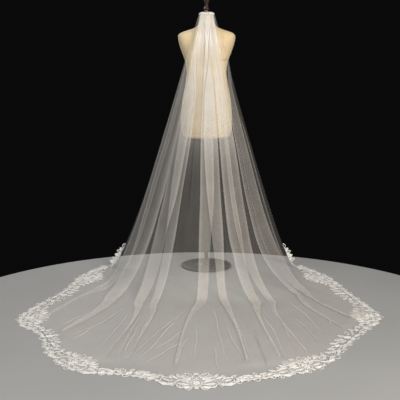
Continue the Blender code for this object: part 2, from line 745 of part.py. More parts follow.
def flat_slab(name, outline, holes, bottom, thickness, material):
    """Add a flat plate with holes cut through it."""
    points = []
    edges = []
    for loop in [outline] + holes:
        start = len(points)
        points += [Vector(p) for p in loop]
        indices = list(range(start, start + len(loop)))
        edges += list(zip(indices, indices[1:] + indices[:1]))
    verts, _edges, triangles, _ov, _oe, _of = delaunay_2d_cdt(points, edges, [], 1, 1e-6)
    kept = []
    for face in triangles:
        middle = sum((verts[i] for i in face), Vector((0.0, 0.0))) / len(face)
        if inside(middle, outline) and not any(inside(middle, hole) for hole in holes):
            kept.append(list(face))
    count = len(verts)
    top = bottom + thickness
    solid = [(v.x, v.y, bottom) for v in verts] + [(v.x, v.y, top) for v in verts]
    closed = [tuple(i + count for i in f) for f in kept]
    closed += [tuple(f[::-1]) for f in kept]
    sides = {(a, b) for f in kept for a, b in zip(f, f[1:] + f[:1])}
    for a, b in sorted(sides):
        if (b, a) not in sides:
            closed.append((b, a, a + count, b + count))
    return add_object(name, solid, closed, material, smooth=False)


def lace_piece(name, hem_line, middle, outline, holes, material):
    """Add one lace motif on the floor part of the tulle, bent along the hem."""
    def bend(point):
        """Return a motif point's place beside the hem."""
        return hem_line.place(middle + point[0], point[1])
    flat_slab(name, [bend(p) for p in outline], [[bend(p) for p in hole] for hole in holes],
              WALL + SEAM, LACE, material)


def tail_section(rim, beside, normal, reaches):
    """Return the lower and the upper points of the lace across a side edge.

    It lies on the tulle up to the edge, and stands out from there with the edge's own lean.
    """
    beyond = unit(rim - beside)
    free = unit(normal + beyond * TAIL_LEAN)
    across = unit(beyond - free * (beyond @ free))
    start = rim + normal * SEAM
    lower = [start + (beside - rim) * TAIL_COVER, start]
    upper = [lower[0] + normal * LACE,
             start + (normal - beyond * (1.0 - free @ beyond) / (free @ normal)) * LACE]
    for reach in reaches:
        lower.append(start + free * reach)
        upper.append(start + free * reach - across * LACE)
    return lower + upper


def side_tail(name, outer, normals, mirror, material):
    """Add the lace that climbs one side edge, made from the tulle's own points moved out."""
    rows = [i for i, run in enumerate(RUN_ROWS) if TAIL_RUNS[0] <= run <= TAIL_RUNS[1]]
    edge = -1 if mirror else 0
    second = -2 if mirror else 1
    sections = []
    steps = TAIL_STEPS * (len(rows) - 1) + 1
    for k in range(steps):
        row = min(rows[0] + k // TAIL_STEPS, rows[-1] - 1)
        part = k / TAIL_STEPS - (row - rows[0])
        reaches = TAIL_WIDE if k % 2 == 0 else TAIL_NARROW
        above, below = [tail_section(outer[i, edge], outer[i, second], unit(normals[i, edge]),
                                     reaches) for i in (row, row + 1)]
        sections.append([a * (1.0 - part) + b * part for a, b in zip(above, below)])
    columns = len(TAIL_WIDE) + 2
    count = steps * columns
    solid = [p for section in sections for p in section[:columns]]
    solid += [p for section in sections for p in section[columns:]]
    kept = []
    for k in range(steps - 1):
        for j in range(columns - 1):
            gap = j == 1 and k % 2 == 1 and k < steps - 2
            if not gap:
                a = k * columns + j
                kept.append([a, a + 1, a + columns + 1, a + columns])
    closed = [tuple(i + count for i in f) for f in kept]
    closed += [tuple(f[::-1]) for f in kept]
    sides = {(a, b) for f in kept for a, b in zip(f, f[1:] + f[:1])}
    for a, b in sorted(sides):
        if (b, a) not in sides:
            closed.append((b, a, a + count, b + count))
    add_object(name, solid, closed, material, smooth=False)


def add_lace(outer, normals, material):
    """Add the medallions, the links beside them and the tails on the side edges."""
    hem_line = HemLine()
    reach = max(f.reach * math.cos(math.radians(f.angle)) for f in MEDALLION_FINGERS)
    link_reach = max(f.reach * math.cos(math.radians(f.angle)) for f in LINK_FINGERS)
    for medallion in MEDALLIONS:
        centre = MEDALLION_CENTRE * medallion.scale
        outline, holes = finger_outline(MEDALLION_FINGERS, medallion.scale, medallion.scale,
                                        centre)
        holes += rosette_gaps(medallion.scale, centre)
        lace_piece("lace_medallion_" + medallion.name, hem_line,
                   hem_line.at_lateral(medallion.lateral), outline, holes, material)
    starts = [hem_line.at_lateral(m.lateral) - reach * m.scale for m in MEDALLIONS]
    ends = [hem_line.at_lateral(m.lateral) + reach * m.scale for m in MEDALLIONS]
    length = hem_line.at_lateral(1.0)
    links = [("lace_end_left", END_LINK_START, starts[0], END_LINK_DEPTH)]
    links += [("lace_link_" + str(index + 1), end, start, 1.0)
              for index, (end, start) in enumerate(zip(ends, starts[1:]))]
    links.append(("lace_end_right", ends[-1], length - END_LINK_START, END_LINK_DEPTH))
    for name, start, end, depth in links:
        stretch = (end - start - LINK_GAP) / 2.0 / link_reach
        outline, holes = finger_outline(LINK_FINGERS, stretch, depth, LINK_CENTRE * depth)
        lace_piece(name, hem_line, 0.5 * (start + end), outline, holes, material)
    side_tail("lace_tail_left", outer, normals, False, material)
    side_tail("lace_tail_right", outer, normals, True, material)


# --------------------------------------------------------------------------------------
# Form and stand
# --------------------------------------------------------------------------------------

def add_form(material):
    """Add the padded torso with its neck as one smooth solid."""
    points = []
    for ring in FORM_RINGS:
        fullness = TORSO_FULLNESS + (1.0 - TORSO_FULLNESS) * ease(ring.height, 1.47, 1.52)
        for k in range(FORM_SEGMENTS):
            angle = 2.0 * math.pi * k / FORM_SEGMENTS
            c = math.cos(angle)
            s = math.sin(angle)
            x = ring.half_width * math.copysign(abs(c) ** fullness, c)
            depth = ring.front if s > 0.0 else ring.back
            points.append((x, depth * math.copysign(abs(s) ** fullness, s), ring.height))
    faces = []
    for i in range(len(FORM_RINGS) - 1):
        for k in range(FORM_SEGMENTS):
            n = (k + 1) % FORM_SEGMENTS
            faces.append((i * FORM_SEGMENTS + k, i * FORM_SEGMENTS + n,
                          (i + 1) * FORM_SEGMENTS + n, (i + 1) * FORM_SEGMENTS + k))
    last = (len(FORM_RINGS) - 1) * FORM_SEGMENTS
    faces.append(tuple(reversed(range(FORM_SEGMENTS))))
    faces.append(tuple(range(last, last + FORM_SEGMENTS)))
    add_object("form_torso", points, faces, material)


def add_header(material):
    """Add the gathered header: it wraps the back of the neck and laps over its top."""
    stations = 2 * HEADER_FLUTES + 1
    bottom = VEIL_TOP + HEADER_GAP
    neck_top = FORM_RINGS[-1].height + SEAM
    inner = NECK_RADIUS + SEAM * 2
    points = []
    for k in range(stations):
        share = k / (stations - 1)
        angle = math.pi * (1.0 + share)
        outer = HEADER_RADIUS + HEADER_FLUTE_DEPTH * (k % 2)
        swell = HEADER_SWELL * math.sin(2.0 * math.pi * share) ** 2
        section = [(inner, bottom), (outer, bottom)]
        section += [(outer - row.inset, HEADER_TOP - row.drop + swell * row.swelling)
                    for row in HEADER_CREST]
        section += [(HEADER_LAP, neck_top + HEADER_LAP_HEIGHT), (HEADER_LAP, neck_top),
                    (inner, neck_top)]
        size = len(section)
        for radius, height in section:
            points.append((radius * math.cos(angle), radius * math.sin(angle), height))
    faces = []
    for k in range(stations - 1):
        for j in range(size):
            n = (j + 1) % size
            faces.append((k * size + j, k * size + n, (k + 1) * size + n, (k + 1) * size + j))
    last = (stations - 1) * size
    faces.append(tuple(reversed(range(size))))
    faces.append(tuple(range(last, last + size)))
    add_object("veil_header", points, faces, material)


def add_stand(black, wood, brass):
    """Add the base plate, the pole, and the finial with its collar."""
    r = BASE_RADIUS
    t = BASE_THICKNESS
    turned("stand_base", [(r - 0.001, 0.0), (r, 0.001), (r, t - 0.004), (r - 0.004, t),
                          (0.034, t + 0.004), (0.026, t + 0.020), (0.020, t + 0.026)], 24, black)
    foot = t + 0.026 + SEAM
    top = FORM_RINGS[0].height - SEAM
    turned("stand_pole", [(POLE_RADIUS, foot), (POLE_RADIUS, top - 0.040), (0.020, top - 0.036),
                          (0.020, top - 0.012), (0.055, top - 0.008), (0.055, top)], 16, black)
    neck_top = FORM_RINGS[-1].height
    turned("finial_collar", [(0.0120, neck_top + SEAM), (0.0130, neck_top + 0.003),
                             (0.0130, neck_top + 0.016), (0.0110, neck_top + 0.019)], 16, brass)
    start = neck_top + 0.019 + SEAM
    turned("finial", [(0.0105, start), (0.0150, start + 0.005), (0.0165, start + 0.012),
                      (0.0130, start + 0.020), (0.0100, start + 0.028), (0.0120, start + 0.042),
                      (0.0185, start + 0.060), (0.0215, start + 0.076), (0.0190, start + 0.092),
                      (0.0110, start + 0.104), (0.0040, start + 0.109)], 16, wood)


def main():
    """Build the whole part."""
    for thing in list(bpy.data.objects):
        bpy.data.objects.remove(thing, do_unlink=True)
    black = make_material("stand_black", (0.012, 0.012, 0.013), 0.45, 0.6)
    wood = make_material("finial_wood", (0.060, 0.025, 0.014), 0.35)
    brass = make_material("collar_brass", (0.55, 0.36, 0.13), 0.30, 1.0)
    cream = make_material("form_cover", (0.76, 0.58, 0.33), 0.75)
    tulle = make_material("veil_tulle", (0.86, 0.83, 0.79), 0.60)
    lace = make_material("veil_lace", (0.88, 0.86, 0.82), 0.70)
    add_stand(black, wood, brass)
    add_form(cream)
    add_header(tulle)
    middle = tulle_middle()
    normals = wall_normals(middle)
    outer = middle + normals * WALL / 2.0
    inner = middle - normals * WALL / 2.0
    inner[..., 2] = np.maximum(inner[..., 2], 0.0)
    points, faces = wall_between(outer, inner)
    add_object("veil_tulle", points, faces, tulle)
    add_lace(outer, normals, lace)


main()
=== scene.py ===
"""Looks for a cathedral bridal veil that hangs from the neck of a limbless dress form.

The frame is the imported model: metres, +Z up, the origin on the floor under the stand, and the
train towards -Y.  Every piece of cloth is worked out on the veil's own two coordinates:
    lateral   -1 at the left side edge, 0 in the middle of the back, +1 at the right side edge
    run       0 at the header, 1 where the cloth lands on the floor, 2 at the hem
"""

import logging
import math
from dataclasses import dataclass, field
from enum import Enum
from typing import Callable, Dict, List, NamedTuple, Optional, Sequence, Tuple

import bpy
import numpy as np
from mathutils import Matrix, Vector

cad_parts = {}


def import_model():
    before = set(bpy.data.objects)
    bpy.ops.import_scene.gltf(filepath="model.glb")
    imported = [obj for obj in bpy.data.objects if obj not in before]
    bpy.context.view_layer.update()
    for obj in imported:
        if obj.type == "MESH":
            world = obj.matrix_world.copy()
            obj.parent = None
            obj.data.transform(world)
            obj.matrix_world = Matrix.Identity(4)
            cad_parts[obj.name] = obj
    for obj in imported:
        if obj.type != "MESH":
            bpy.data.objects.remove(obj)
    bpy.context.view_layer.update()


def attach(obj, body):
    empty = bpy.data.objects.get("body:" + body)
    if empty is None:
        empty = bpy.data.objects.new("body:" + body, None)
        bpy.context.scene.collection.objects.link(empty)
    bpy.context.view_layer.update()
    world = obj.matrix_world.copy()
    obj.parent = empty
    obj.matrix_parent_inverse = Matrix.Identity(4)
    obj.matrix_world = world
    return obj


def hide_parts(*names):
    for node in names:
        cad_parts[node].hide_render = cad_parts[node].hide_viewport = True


LOG = logging.getLogger("veil")
ROOT = "root"
# The net's cover attribute: its density, plus painted sheen on crease crests and fold edges.
COVER_AND_SHEEN = "cover"
FULL_TURN = 2.0 * math.pi
TINY = 1e-12

Array = np.ndarray
Colour = Tuple[float, float, float]
Point2 = Tuple[float, float]
Point3 = Tuple[float, float, float]
Face = Tuple[int, ...]
Line = Callable[[Array], Array]
Mapper = Callable[[Array, Array], Array]
Material = bpy.types.Material
Socket = bpy.types.NodeSocket
Thing = bpy.types.Object


class PetalStyle(Enum):
    """How a petal of the lace is worked."""

    OPEN = "open"
    SOLID = "solid"


# ---- Curves and grids

def smooth_lookup(x: Array, knots: Sequence[float], values: Sequence[float]) -> Array:
    """Read a smooth curve through table rows.

    Args:
        x: Places to read the curve at.
        knots: Rising places of the rows.
        values: The rows' values.

    Returns:
        The curve's values at x.
    """
    knots = np.asarray(knots, dtype=float)
    values = np.asarray(values, dtype=float)
    x = np.clip(x, knots[0], knots[-1])
    gaps = np.diff(knots)
    chords = np.diff(values) / gaps
    slopes = np.empty(len(knots))
    slopes[0] = chords[0]
    slopes[-1] = chords[-1]
    slopes[1:-1] = (chords[:-1] * gaps[1:] + chords[1:] * gaps[:-1]) / (gaps[1:] + gaps[:-1])
    k = np.clip(np.searchsorted(knots, x, side="right") - 1, 0, len(knots) - 2)
    t = (x - knots[k]) / gaps[k]
    rise = t * t * (3.0 - 2.0 * t)
    return (values[k] * (1.0 - rise) + values[k + 1] * rise
            + gaps[k] * slopes[k] * t * (1.0 - t) ** 2
            - gaps[k] * slopes[k + 1] * t * t * (1.0 - t))


def ease(x: Array, start: float, end: float) -> Array:
    """Return 0 before start, 1 after end and a soft step between."""
    t = np.clip((np.asarray(x, dtype=float) - start) / (end - start), 0.0, 1.0)
    return t * t * (3.0 - 2.0 * t)


def mix(first: Array, second: Array, share: Array) -> Array:
    """Return a value part of the way from the first to the second."""
    return first + (second - first) * share


def column(table: Sequence[NamedTuple], name: str) -> Array:
    """Return one named column of a table as an array."""
    return np.array([getattr(row, name) for row in table])


def unit(vectors: Array) -> Array:
    """Return vectors scaled to length one."""
    length = np.linalg.norm(vectors, axis=-1, keepdims=True)
    return vectors / np.maximum(length, TINY)


def direction(angle: float) -> Array:
    """Return the plane's unit vector at an angle in degrees."""
    return np.array([math.cos(math.radians(angle)), math.sin(math.radians(angle))])


def around(count: int) -> Array:
    """Return evenly spaced angles of one full turn, in radians."""
    return np.linspace(0.0, FULL_TURN, count, endpoint=False)


def travelled(points: Array) -> Array:
    """Return the distance along a path at each of its points."""
    steps = np.linalg.norm(np.diff(points, axis=0), axis=1)
    return np.concatenate([[0.0], np.cumsum(steps)])


def refined(values: Array, parts: int) -> Array:
    """Refine an array along its last axis with a smooth curve through its columns.

    Args:
        values: Rows by columns.
        parts: Fine columns for each coarse one.

    Returns:
        Rows by (columns - 1) * parts + 1 values.
    """
    count = values.shape[-1]
    padded = np.concatenate([values[..., :1], values, values[..., -1:]], axis=-1)
    a, b, c, d = [padded[..., k:count - 1 + k] for k in range(4)]
    pieces = []
    for part in range(parts):
        t = part / parts
        pieces.append(0.5 * (2.0 * b + (c - a) * t + (2.0 * a - 5.0 * b + 4.0 * c - d) * t * t
                             + (3.0 * b - a - 3.0 * c + d) * t ** 3))
    fine = np.stack(pieces, axis=-1).reshape(*values.shape[:-1], (count - 1) * parts)
    return np.concatenate([fine, values[..., -1:]], axis=-1)


# ---- Meshes

@dataclass
class MeshParts:
    """Points and faces gathered up for one mesh object."""

    points: List[Array] = field(default_factory=list)
    faces: List[Face] = field(default_factory=list)

    def add(self, points: Array, faces: Sequence[Sequence[int]]) -> None:
        """Add one more shell.

        Args:
            points: Its points, one row each.
            faces: Its faces, counted from its own first point.
        """
        start = len(self.points)
        self.points.extend(np.asarray(points, dtype=float).reshape(-1, 3))
        self.faces.extend(tuple(start + i for i in face) for face in faces)

    def build(self, name: str, material: Material, smooth: bool = True) -> Thing:
        """Make the object.

        Args:
            name: Its name.
            material: Its one material.
            smooth: Whether its faces are shaded smooth.

        Returns:
            The new object, linked to the scene.
        """
        mesh = bpy.data.meshes.new(name)
        mesh.from_pydata([tuple(p) for p in self.points], [], self.faces)
        mesh.validate()
        if smooth:
            mesh.shade_smooth()
        mesh.materials.append(material)
        thing = bpy.data.objects.new(name, mesh)
        bpy.context.scene.collection.objects.link(thing)
        return thing


def grid_faces(rows: int, columns: int, closed: bool = False) -> List[Face]:
    """Return the quads of a grid stored row by row.

    Args:
        rows: Number of rows.
        columns: Number of points in a row.
        closed: Whether each row closes on itself.

    Returns:
        The faces.
    """
    faces = []
    for i in range(rows - 1):
        for j in range(columns if closed else columns - 1):
            n = (j + 1) % columns
            faces.append((i * columns + j, i * columns + n,
                          (i + 1) * columns + n, (i + 1) * columns + j))
    return faces


def capped_faces(rings: int, sides: int) -> List[Face]:
    """Return the faces of a tube of rings that is closed by a flat cap at each end."""
    caps = [tuple(reversed(range(sides))), tuple(range((rings - 1) * sides, rings * sides))]
    return grid_faces(rings, sides, closed=True) + caps


def tube_shell(path: Array, lifts: Array, reach: Point2, sides: int,
               closed: bool) -> Tuple[Array, List[Face]]:
    """Return a cord or a flat band along a path.

    Args:
        path: Points of the cord's middle.
        lifts: The direction away from the cloth at each point.
        reach: Half its width and half its height.
        sides: Points round it.
        closed: Whether the path closes on itself.

    Returns:
        Points and faces.
    """
    if closed:
        tangent = unit(np.roll(path, -1, axis=0) - np.roll(path, 1, axis=0))
    else:
        tangent = unit(np.gradient(path, axis=0))
    across = unit(np.cross(lifts, tangent))
    up = unit(np.cross(tangent, across))
    rings = []
    for k in range(sides):
        angle = FULL_TURN * k / sides
        rings.append(path + across * reach[0] * math.cos(angle) + up * reach[1] * math.sin(angle))
    points = np.stack(rings, axis=1).reshape(-1, 3)
    if not closed:
        return points, capped_faces(len(path), sides)
    last = (len(path) - 1) * sides
    return points, grid_faces(len(path), sides, closed=True) + [
        (last + k, last + (k + 1) % sides, (k + 1) % sides, k) for k in range(sides)]


def shell(points: Array, faces: Sequence[Face]) -> MeshParts:
    """Return mesh parts that are one shell."""
    return MeshParts(list(points.reshape(-1, 3)), list(faces))


def dress(piece: Thing, slot: str, *nodes: str) -> Thing:
    """Tie a piece to the frame.

    Args:
        piece: The piece.
        slot: The record's material slot; not used.
        nodes: CAD nodes that it stands for.

    Returns:
        The piece.
    """
    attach(piece, ROOT)
    if nodes:
        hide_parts(*nodes)
    LOG.info("%s: %d faces", piece.name, len(piece.data.polygons))
    return piece


# ---- Finishes

class NodeSketch:
    """A short way to wire up a material's nodes."""

    tint_stops = (0.30, 0.70)

    def __init__(self, name: str) -> None:
        """Start a material with a Principled shader.

        Args:
            name: The material's name.
        """
        self.material = bpy.data.materials.new(name)
        self.material.use_nodes = True
        self.tree = self.material.node_tree
        self.shader = self.tree.nodes["Principled BSDF"]
        self.place = self.node("ShaderNodeTexCoord").outputs["Object"]

    def node(self, kind: str, **settings: object) -> bpy.types.Node:
        """Add a node.

        Args:
            kind: Its type name.
            settings: Properties, or inputs by their names with underscores.

        Returns:
            The node.
        """
        made = self.tree.nodes.new(kind)
        for key, value in settings.items():
            if hasattr(made, key):
                setattr(made, key, value)
            else:
                made.inputs[key.replace("_", " ")].default_value = value
        return made

    def join(self, source: Socket, target: Socket) -> None:
        """Link two sockets."""
        self.tree.links.new(source, target)

    def noise(self, scale: float, detail: float = 2.0,
              stretch: Point3 = (1.0, 1.0, 1.0)) -> Socket:
        """Return a noise value in the object's own coordinates.

        Args:
            scale: Waves to the metre.
            detail: Octaves.
            stretch: Scale along each axis.

        Returns:
            The noise's value socket.
        """
        mapping = self.node("ShaderNodeMapping")
        mapping.inputs["Scale"].default_value = stretch
        self.join(self.place, mapping.inputs["Vector"])
        made = self.node("ShaderNodeTexNoise", Scale=scale, Detail=detail)
        self.join(mapping.outputs["Vector"], made.inputs["Vector"])
        return made.outputs["Fac"]

    def cells(self, scale: float, feature: str = "DISTANCE_TO_EDGE") -> Socket:
        """Return a cell pattern's distance in the object's own coordinates.

        Args:
            scale: Cells to the metre.
            feature: Which distance it is.

        Returns:
            The distance's socket.
        """
        made = self.node("ShaderNodeTexVoronoi", feature=feature, Scale=scale)
        self.join(self.place, made.inputs["Vector"])
        return made.outputs["Distance"]

    def remap(self, value: Socket, source: Point2, target: Point2) -> Socket:
        """Return a value stretched from one range to another.

        Args:
            value: The value's socket.
            source: The range that it comes in.
            target: The range that it is taken to.

        Returns:
            The new value's socket.
        """
        made = self.node("ShaderNodeMapRange")
        self.join(value, made.inputs["Value"])
        for name, number in zip(("From Min", "From Max", "To Min", "To Max"),
                                (*source, *target)):
            made.inputs[name].default_value = number
        return made.outputs["Result"]

    def times(self, a: Socket, b: Socket) -> Socket:
        """Return the product of two values.

        Args:
            a: The first value's socket.
            b: The second value's socket.

        Returns:
            The product's socket.
        """
        made = self.node("ShaderNodeMath", operation="MULTIPLY")
        self.join(a, made.inputs[0])
        self.join(b, made.inputs[1])
        return made.outputs["Value"]

    def tint(self, factor: Socket, *colours: Colour) -> None:
        """Set the base colour to a mix of two colours.

        Args:
            factor: The mix, from the first colour to the second.
            colours: The two colours.
        """
        ramp = self.node("ShaderNodeValToRGB")
        for stop, place, colour in zip(ramp.color_ramp.elements, self.tint_stops, colours):
            stop.position = place
            stop.color = (*colour, 1.0)
        self.join(factor, ramp.inputs["Fac"])
        self.join(ramp.outputs["Color"], self.shader.inputs["Base Color"])

    def bump(self, height: Socket, strength: float, distance: float) -> None:
        """Roughen the surface by a height.

        Args:
            height: The height's socket.
            strength: How much of it shows.
            distance: The height's full size in metres.
        """
        made = self.node("ShaderNodeBump", Strength=strength, Distance=distance)
        self.join(height, made.inputs["Height"])
        self.join(made.outputs["Normal"], self.shader.inputs["Normal"])

    def set(self, **values: object) -> None:
        """Set the shader's own inputs, named with underscores."""
        for key, value in values.items():
            self.shader.inputs[key.replace("_", " ")].default_value = value


@dataclass(frozen=True)
class TulleFinish:
    """Sheer net: denser where more of it is gathered together, and along crease crests and fold
    edges, where its cover holds a painted sheen.
    """

    name: str = "sheer_tulle"
    pale: Colour = (0.92, 0.88, 0.82)
    deep: Colour = (0.86, 0.81, 0.74)
    patches: float = 9.0
    holes: float = 420.0
    hole_reach: Point2 = (0.0, 0.5)
    hole_cover: Point2 = (1.12, 0.88)
    clouds: float = 14.0
    cloud_reach: Point2 = (0.3, 0.7)
    cloud_cover: Point2 = (0.94, 1.06)
    threads: float = 600.0
    depth: float = 0.0004
    roughness: float = 0.62
    sheen: float = 0.25

    def make(self) -> Material:
        """Wire up the finish.

        Returns:
            The material.
        """
        sketch = NodeSketch(self.name)
        sketch.tint(sketch.noise(self.patches, detail=3.0), self.deep, self.pale)
        weave = sketch.remap(sketch.cells(self.holes), self.hole_reach, self.hole_cover)
        cloud = sketch.remap(sketch.noise(self.clouds, detail=4.0), self.cloud_reach,
                             self.cloud_cover)
        # Alpha follows the cover attribute: net density, plus painted sheen on crease crests and
        # fold edges.
        cover = sketch.node("ShaderNodeAttribute", attribute_name=COVER_AND_SHEEN)
        value = sketch.times(sketch.times(cover.outputs["Fac"], weave), cloud)
        sketch.join(value, sketch.shader.inputs["Alpha"])
        sketch.bump(sketch.noise(self.threads, detail=1.0), strength=0.15, distance=self.depth)
        sketch.set(Roughness=self.roughness, Sheen_Weight=self.sheen, Sheen_Roughness=0.4,
                   IOR=1.35)
        return sketch.material


@dataclass(frozen=True)
class ClothFinish:
    """Opaque cloth with a fine weave, in threads and patches of colour to the metre."""

    name: str
    pale: Colour
    deep: Colour
    weave: float = 900.0
    depth: float = 0.0003
    roughness: float = 0.75
    sheen: float = 0.3
    patches: float = 12.0

    def make(self) -> Material:
        """Wire up the finish.

        Returns:
            The material.
        """
        sketch = NodeSketch(self.name)
        sketch.tint(sketch.noise(self.patches, detail=4.0), self.deep, self.pale)
        sketch.bump(sketch.cells(self.weave, "F1"), strength=0.35, distance=self.depth)
        sketch.set(Roughness=self.roughness, Sheen_Weight=self.sheen, Sheen_Roughness=0.5)
        return sketch.material


@dataclass(frozen=True)
class WoodFinish:
    """Dark stained wood with a soft lacquer."""

    name: str = "dark_wood"
    pale: Colour = (0.055, 0.020, 0.012)
    deep: Colour = (0.018, 0.008, 0.006)
    grain: float = 120.0
    grain_stretch: Point3 = (1.0, 1.0, 0.12)
    depth: float = 0.0004
    roughness: float = 0.48
    lacquer: float = 0.12

    def make(self) -> Material:
        """Wire up the finish.

        Returns:
            The material.
        """
        sketch = NodeSketch(self.name)
        grain = sketch.noise(self.grain, detail=5.0, stretch=self.grain_stretch)
        sketch.tint(grain, self.deep, self.pale)
        sketch.bump(grain, strength=0.12, distance=self.depth)
        sketch.set(Roughness=self.roughness, Coat_Weight=self.lacquer, Coat_Roughness=0.4)
        return sketch.material


@dataclass(frozen=True)
class MetalFinish:
    """Polished or coated metal."""

    name: str
    pale: Colour
    deep: Colour
    metallic: float
    roughness: Point2
    mottle: float = 60.0
    smears: float = 35.0
    smear_reach: Point2 = (0.3, 0.7)
    orange_peel: float = 500.0
    depth: float = 0.0002

    def make(self) -> Material:
        """Wire up the finish.

        Returns:
            The material.
        """
        sketch = NodeSketch(self.name)
        sketch.tint(sketch.noise(self.mottle, detail=4.0), self.deep, self.pale)
        smear = sketch.remap(sketch.noise(self.smears, detail=5.0), self.smear_reach,
                             self.roughness)
        sketch.join(smear, sketch.shader.inputs["Roughness"])
        sketch.bump(sketch.noise(self.orange_peel), strength=0.08, distance=self.depth)
        sketch.set(Metallic=self.metallic)
        return sketch.material


FINISHES = (
    TulleFinish(),
    ClothFinish("gathered_tulle", (0.94, 0.92, 0.88), (0.84, 0.81, 0.76), weave=700.0),
    ClothFinish("corded_lace", (0.94, 0.92, 0.89), (0.85, 0.83, 0.79), weave=1300.0,
                depth=0.0002, roughness=0.7, sheen=0.25, patches=40.0),
    ClothFinish("cream_jersey", (0.90, 0.73, 0.45), (0.84, 0.66, 0.39), weave=1100.0,
                depth=0.0002, roughness=0.8, sheen=0.35, patches=5.0),
    ClothFinish("cream_seam", (0.62, 0.47, 0.27), (0.55, 0.41, 0.23), weave=1500.0),
    ClothFinish("red_tape", (0.55, 0.05, 0.04), (0.42, 0.03, 0.03), weave=1500.0),
    ClothFinish("white_thread", (0.90, 0.89, 0.86), (0.82, 0.80, 0.77), weave=2500.0),
    MetalFinish("black_coat", (0.016, 0.016, 0.017), (0.009, 0.009, 0.010), metallic=0.4,
                roughness=(0.38, 0.52)),
    MetalFinish("polished_brass", (0.34, 0.22, 0.09), (0.24, 0.15, 0.06), metallic=1.0,
                roughness=(0.22, 0.36)),
    WoodFinish(),
)


# ---- The veil's surface

class Section(NamedTuple):
    """One level section of the tent."""

    height: float
    half_width: float
    side_back: float
    middle_back: float


class Rail(NamedTuple):
    """Where one line of the cloth meets the floor, and its end at the hem."""

    lateral: float
    land_x: float
    land_y: float
    hem_x: float
    hem_y: float


class Fold(NamedTuple):
    """A lying fold: three layers of cloth between its left and right edge."""

    name: str
    lean: int
    left: Tuple[float, ...]
    right: Tuple[float, ...]


class Loft(NamedTuple):
    """Height from one layer of a fold to the next, at a run."""

    run: float
    step: float


class Ridge(NamedTuple):
    """A thin standing crease."""

    name: str
    lateral_start: float
    lateral_end: float
    opened: float
    start: float
    end: float
    height: float


class Crease(NamedTuple):
    """A soft crease of the train between two plan points, bowed to one side."""

    start_x: float
    start_y: float
    end_x: float
    end_y: float
    bow: float
    height: float


class FoldEnd(NamedTuple):
    """Runs at which a fold ends on the floor."""

    folded: float
    stepped: float
    spread: float
    sunk: float
    taper: float


class Approach(NamedTuple):
    """The plain cloth before a pair of folds: its strands' shares of the way, and its end."""

    shares: Tuple[float, ...]
    end: FoldEnd


class Wave(NamedTuple):
    """A wave across the cloth: its count from edge to edge, slant, phase and share."""

    count: float
    slant: float
    phase: float
    share: float


OUTER_END = FoldEnd(1.10, 1.80, 1.84, 1.88, 0.60)
INNER_END = FoldEnd(0.97, 1.80, 1.85, 1.90, 2.10)

APPROACHES = (
    Approach((0.0, 0.12, 0.34, 0.62, 0.88), OUTER_END),
    Approach((), INNER_END),
    Approach((0.12, 0.55), INNER_END),
    Approach((), INNER_END),
    Approach((), OUTER_END),
)
RIDGE_PAIR = 2
AFTER_FIRST_RIDGE = (0.60,)
BEFORE_LAST_RIDGE = (0.75,)
AFTER_LAST_RIDGE = (0.16, 0.42, 0.68, 0.88, 1.0)
FOLD_MARGIN = 0.12

GATHERS = (Wave(19.0, 0.0, 0.4, 0.50), Wave(31.0, 0.0, 2.1, 0.35), Wave(53.0, 0.0, 4.2, 0.15))
FLUTTERS = (Wave(9.0, 1.3, 0.0, 1.0), Wave(15.0, -2.1, 1.7, 1.0), Wave(23.0, 0.7, 3.9, 1.0))
STREAKS = (Wave(4.3, 0.0, 0.9, 0.45), Wave(9.0, 0.0, 1.9, 0.35), Wave(17.0, 0.0, 4.0, 0.20))

SECTIONS = (
    Section(1.585, 0.0480, 0.000, 0.0500),
    Section(1.540, 0.0620, 0.045, 0.0720),
    Section(1.480, 0.0800, 0.100, 0.1130),
    Section(1.400, 0.1000, 0.124, 0.1430),
    Section(1.300, 0.1280, 0.118, 0.1760),
    Section(1.180, 0.1640, 0.080, 0.2160),
    Section(1.000, 0.2180, 0.035, 0.2860),
    Section(0.668, 0.3200, 0.000, 0.4170),
    Section(0.000, 0.5260, -0.030, 0.6900),
)

RAILS = (
    Rail(-1.00, -0.630, 0.010, -0.662, 0.004),
    Rail(-0.90, -0.600, -0.190, -0.770, -0.240),
    Rail(-0.80, -0.608, -0.380, -0.840, -0.560),
    Rail(-0.66, -0.595, -0.590, -0.970, -1.075),
    Rail(-0.53, -0.520, -0.730, -0.820, -1.375),
    Rail(-0.44, -0.440, -0.800, -0.715, -1.615),
    Rail(-0.36, -0.360, -0.845, -0.570, -1.785),
    Rail(-0.28, -0.280, -0.860, -0.400, -1.840),
    Rail(-0.15, -0.150, -0.840, -0.225, -1.918),
    Rail(0.00, -0.010, -0.820, -0.055, -1.965),
    Rail(0.10, 0.085, -0.820, 0.105, -1.940),
    Rail(0.24, 0.240, -0.850, 0.335, -1.842),
    Rail(0.32, 0.330, -0.830, 0.485, -1.735),
    Rail(0.44, 0.440, -0.745, 0.650, -1.505),
    Rail(0.55, 0.520, -0.640, 0.795, -1.255),
    Rail(0.64, 0.565, -0.530, 0.890, -1.045),
    Rail(0.71, 0.572, -0.430, 0.868, -0.860),
    Rail(0.80, 0.568, -0.300, 0.810, -0.540),
    Rail(0.87, 0.562, -0.180, 0.755, -0.300),
    Rail(1.00, 0.575, 0.010, 0.607, 0.004),
)


class Medallion(NamedTuple):
    """A medallion's lateral place on the hem and its size."""

    lateral: float
    scale: float
    depth: float


MEDALLIONS = (
    Medallion(-0.885, 1.00, 1.00),
    Medallion(-0.665, 1.00, 1.00),
    Medallion(-0.395, 1.00, 1.00),
    Medallion(0.000, 1.00, 1.06),
    Medallion(0.300, 1.00, 1.00),
    Medallion(0.645, 0.96, 1.00),
    Medallion(0.880, 0.98, 1.00),
)

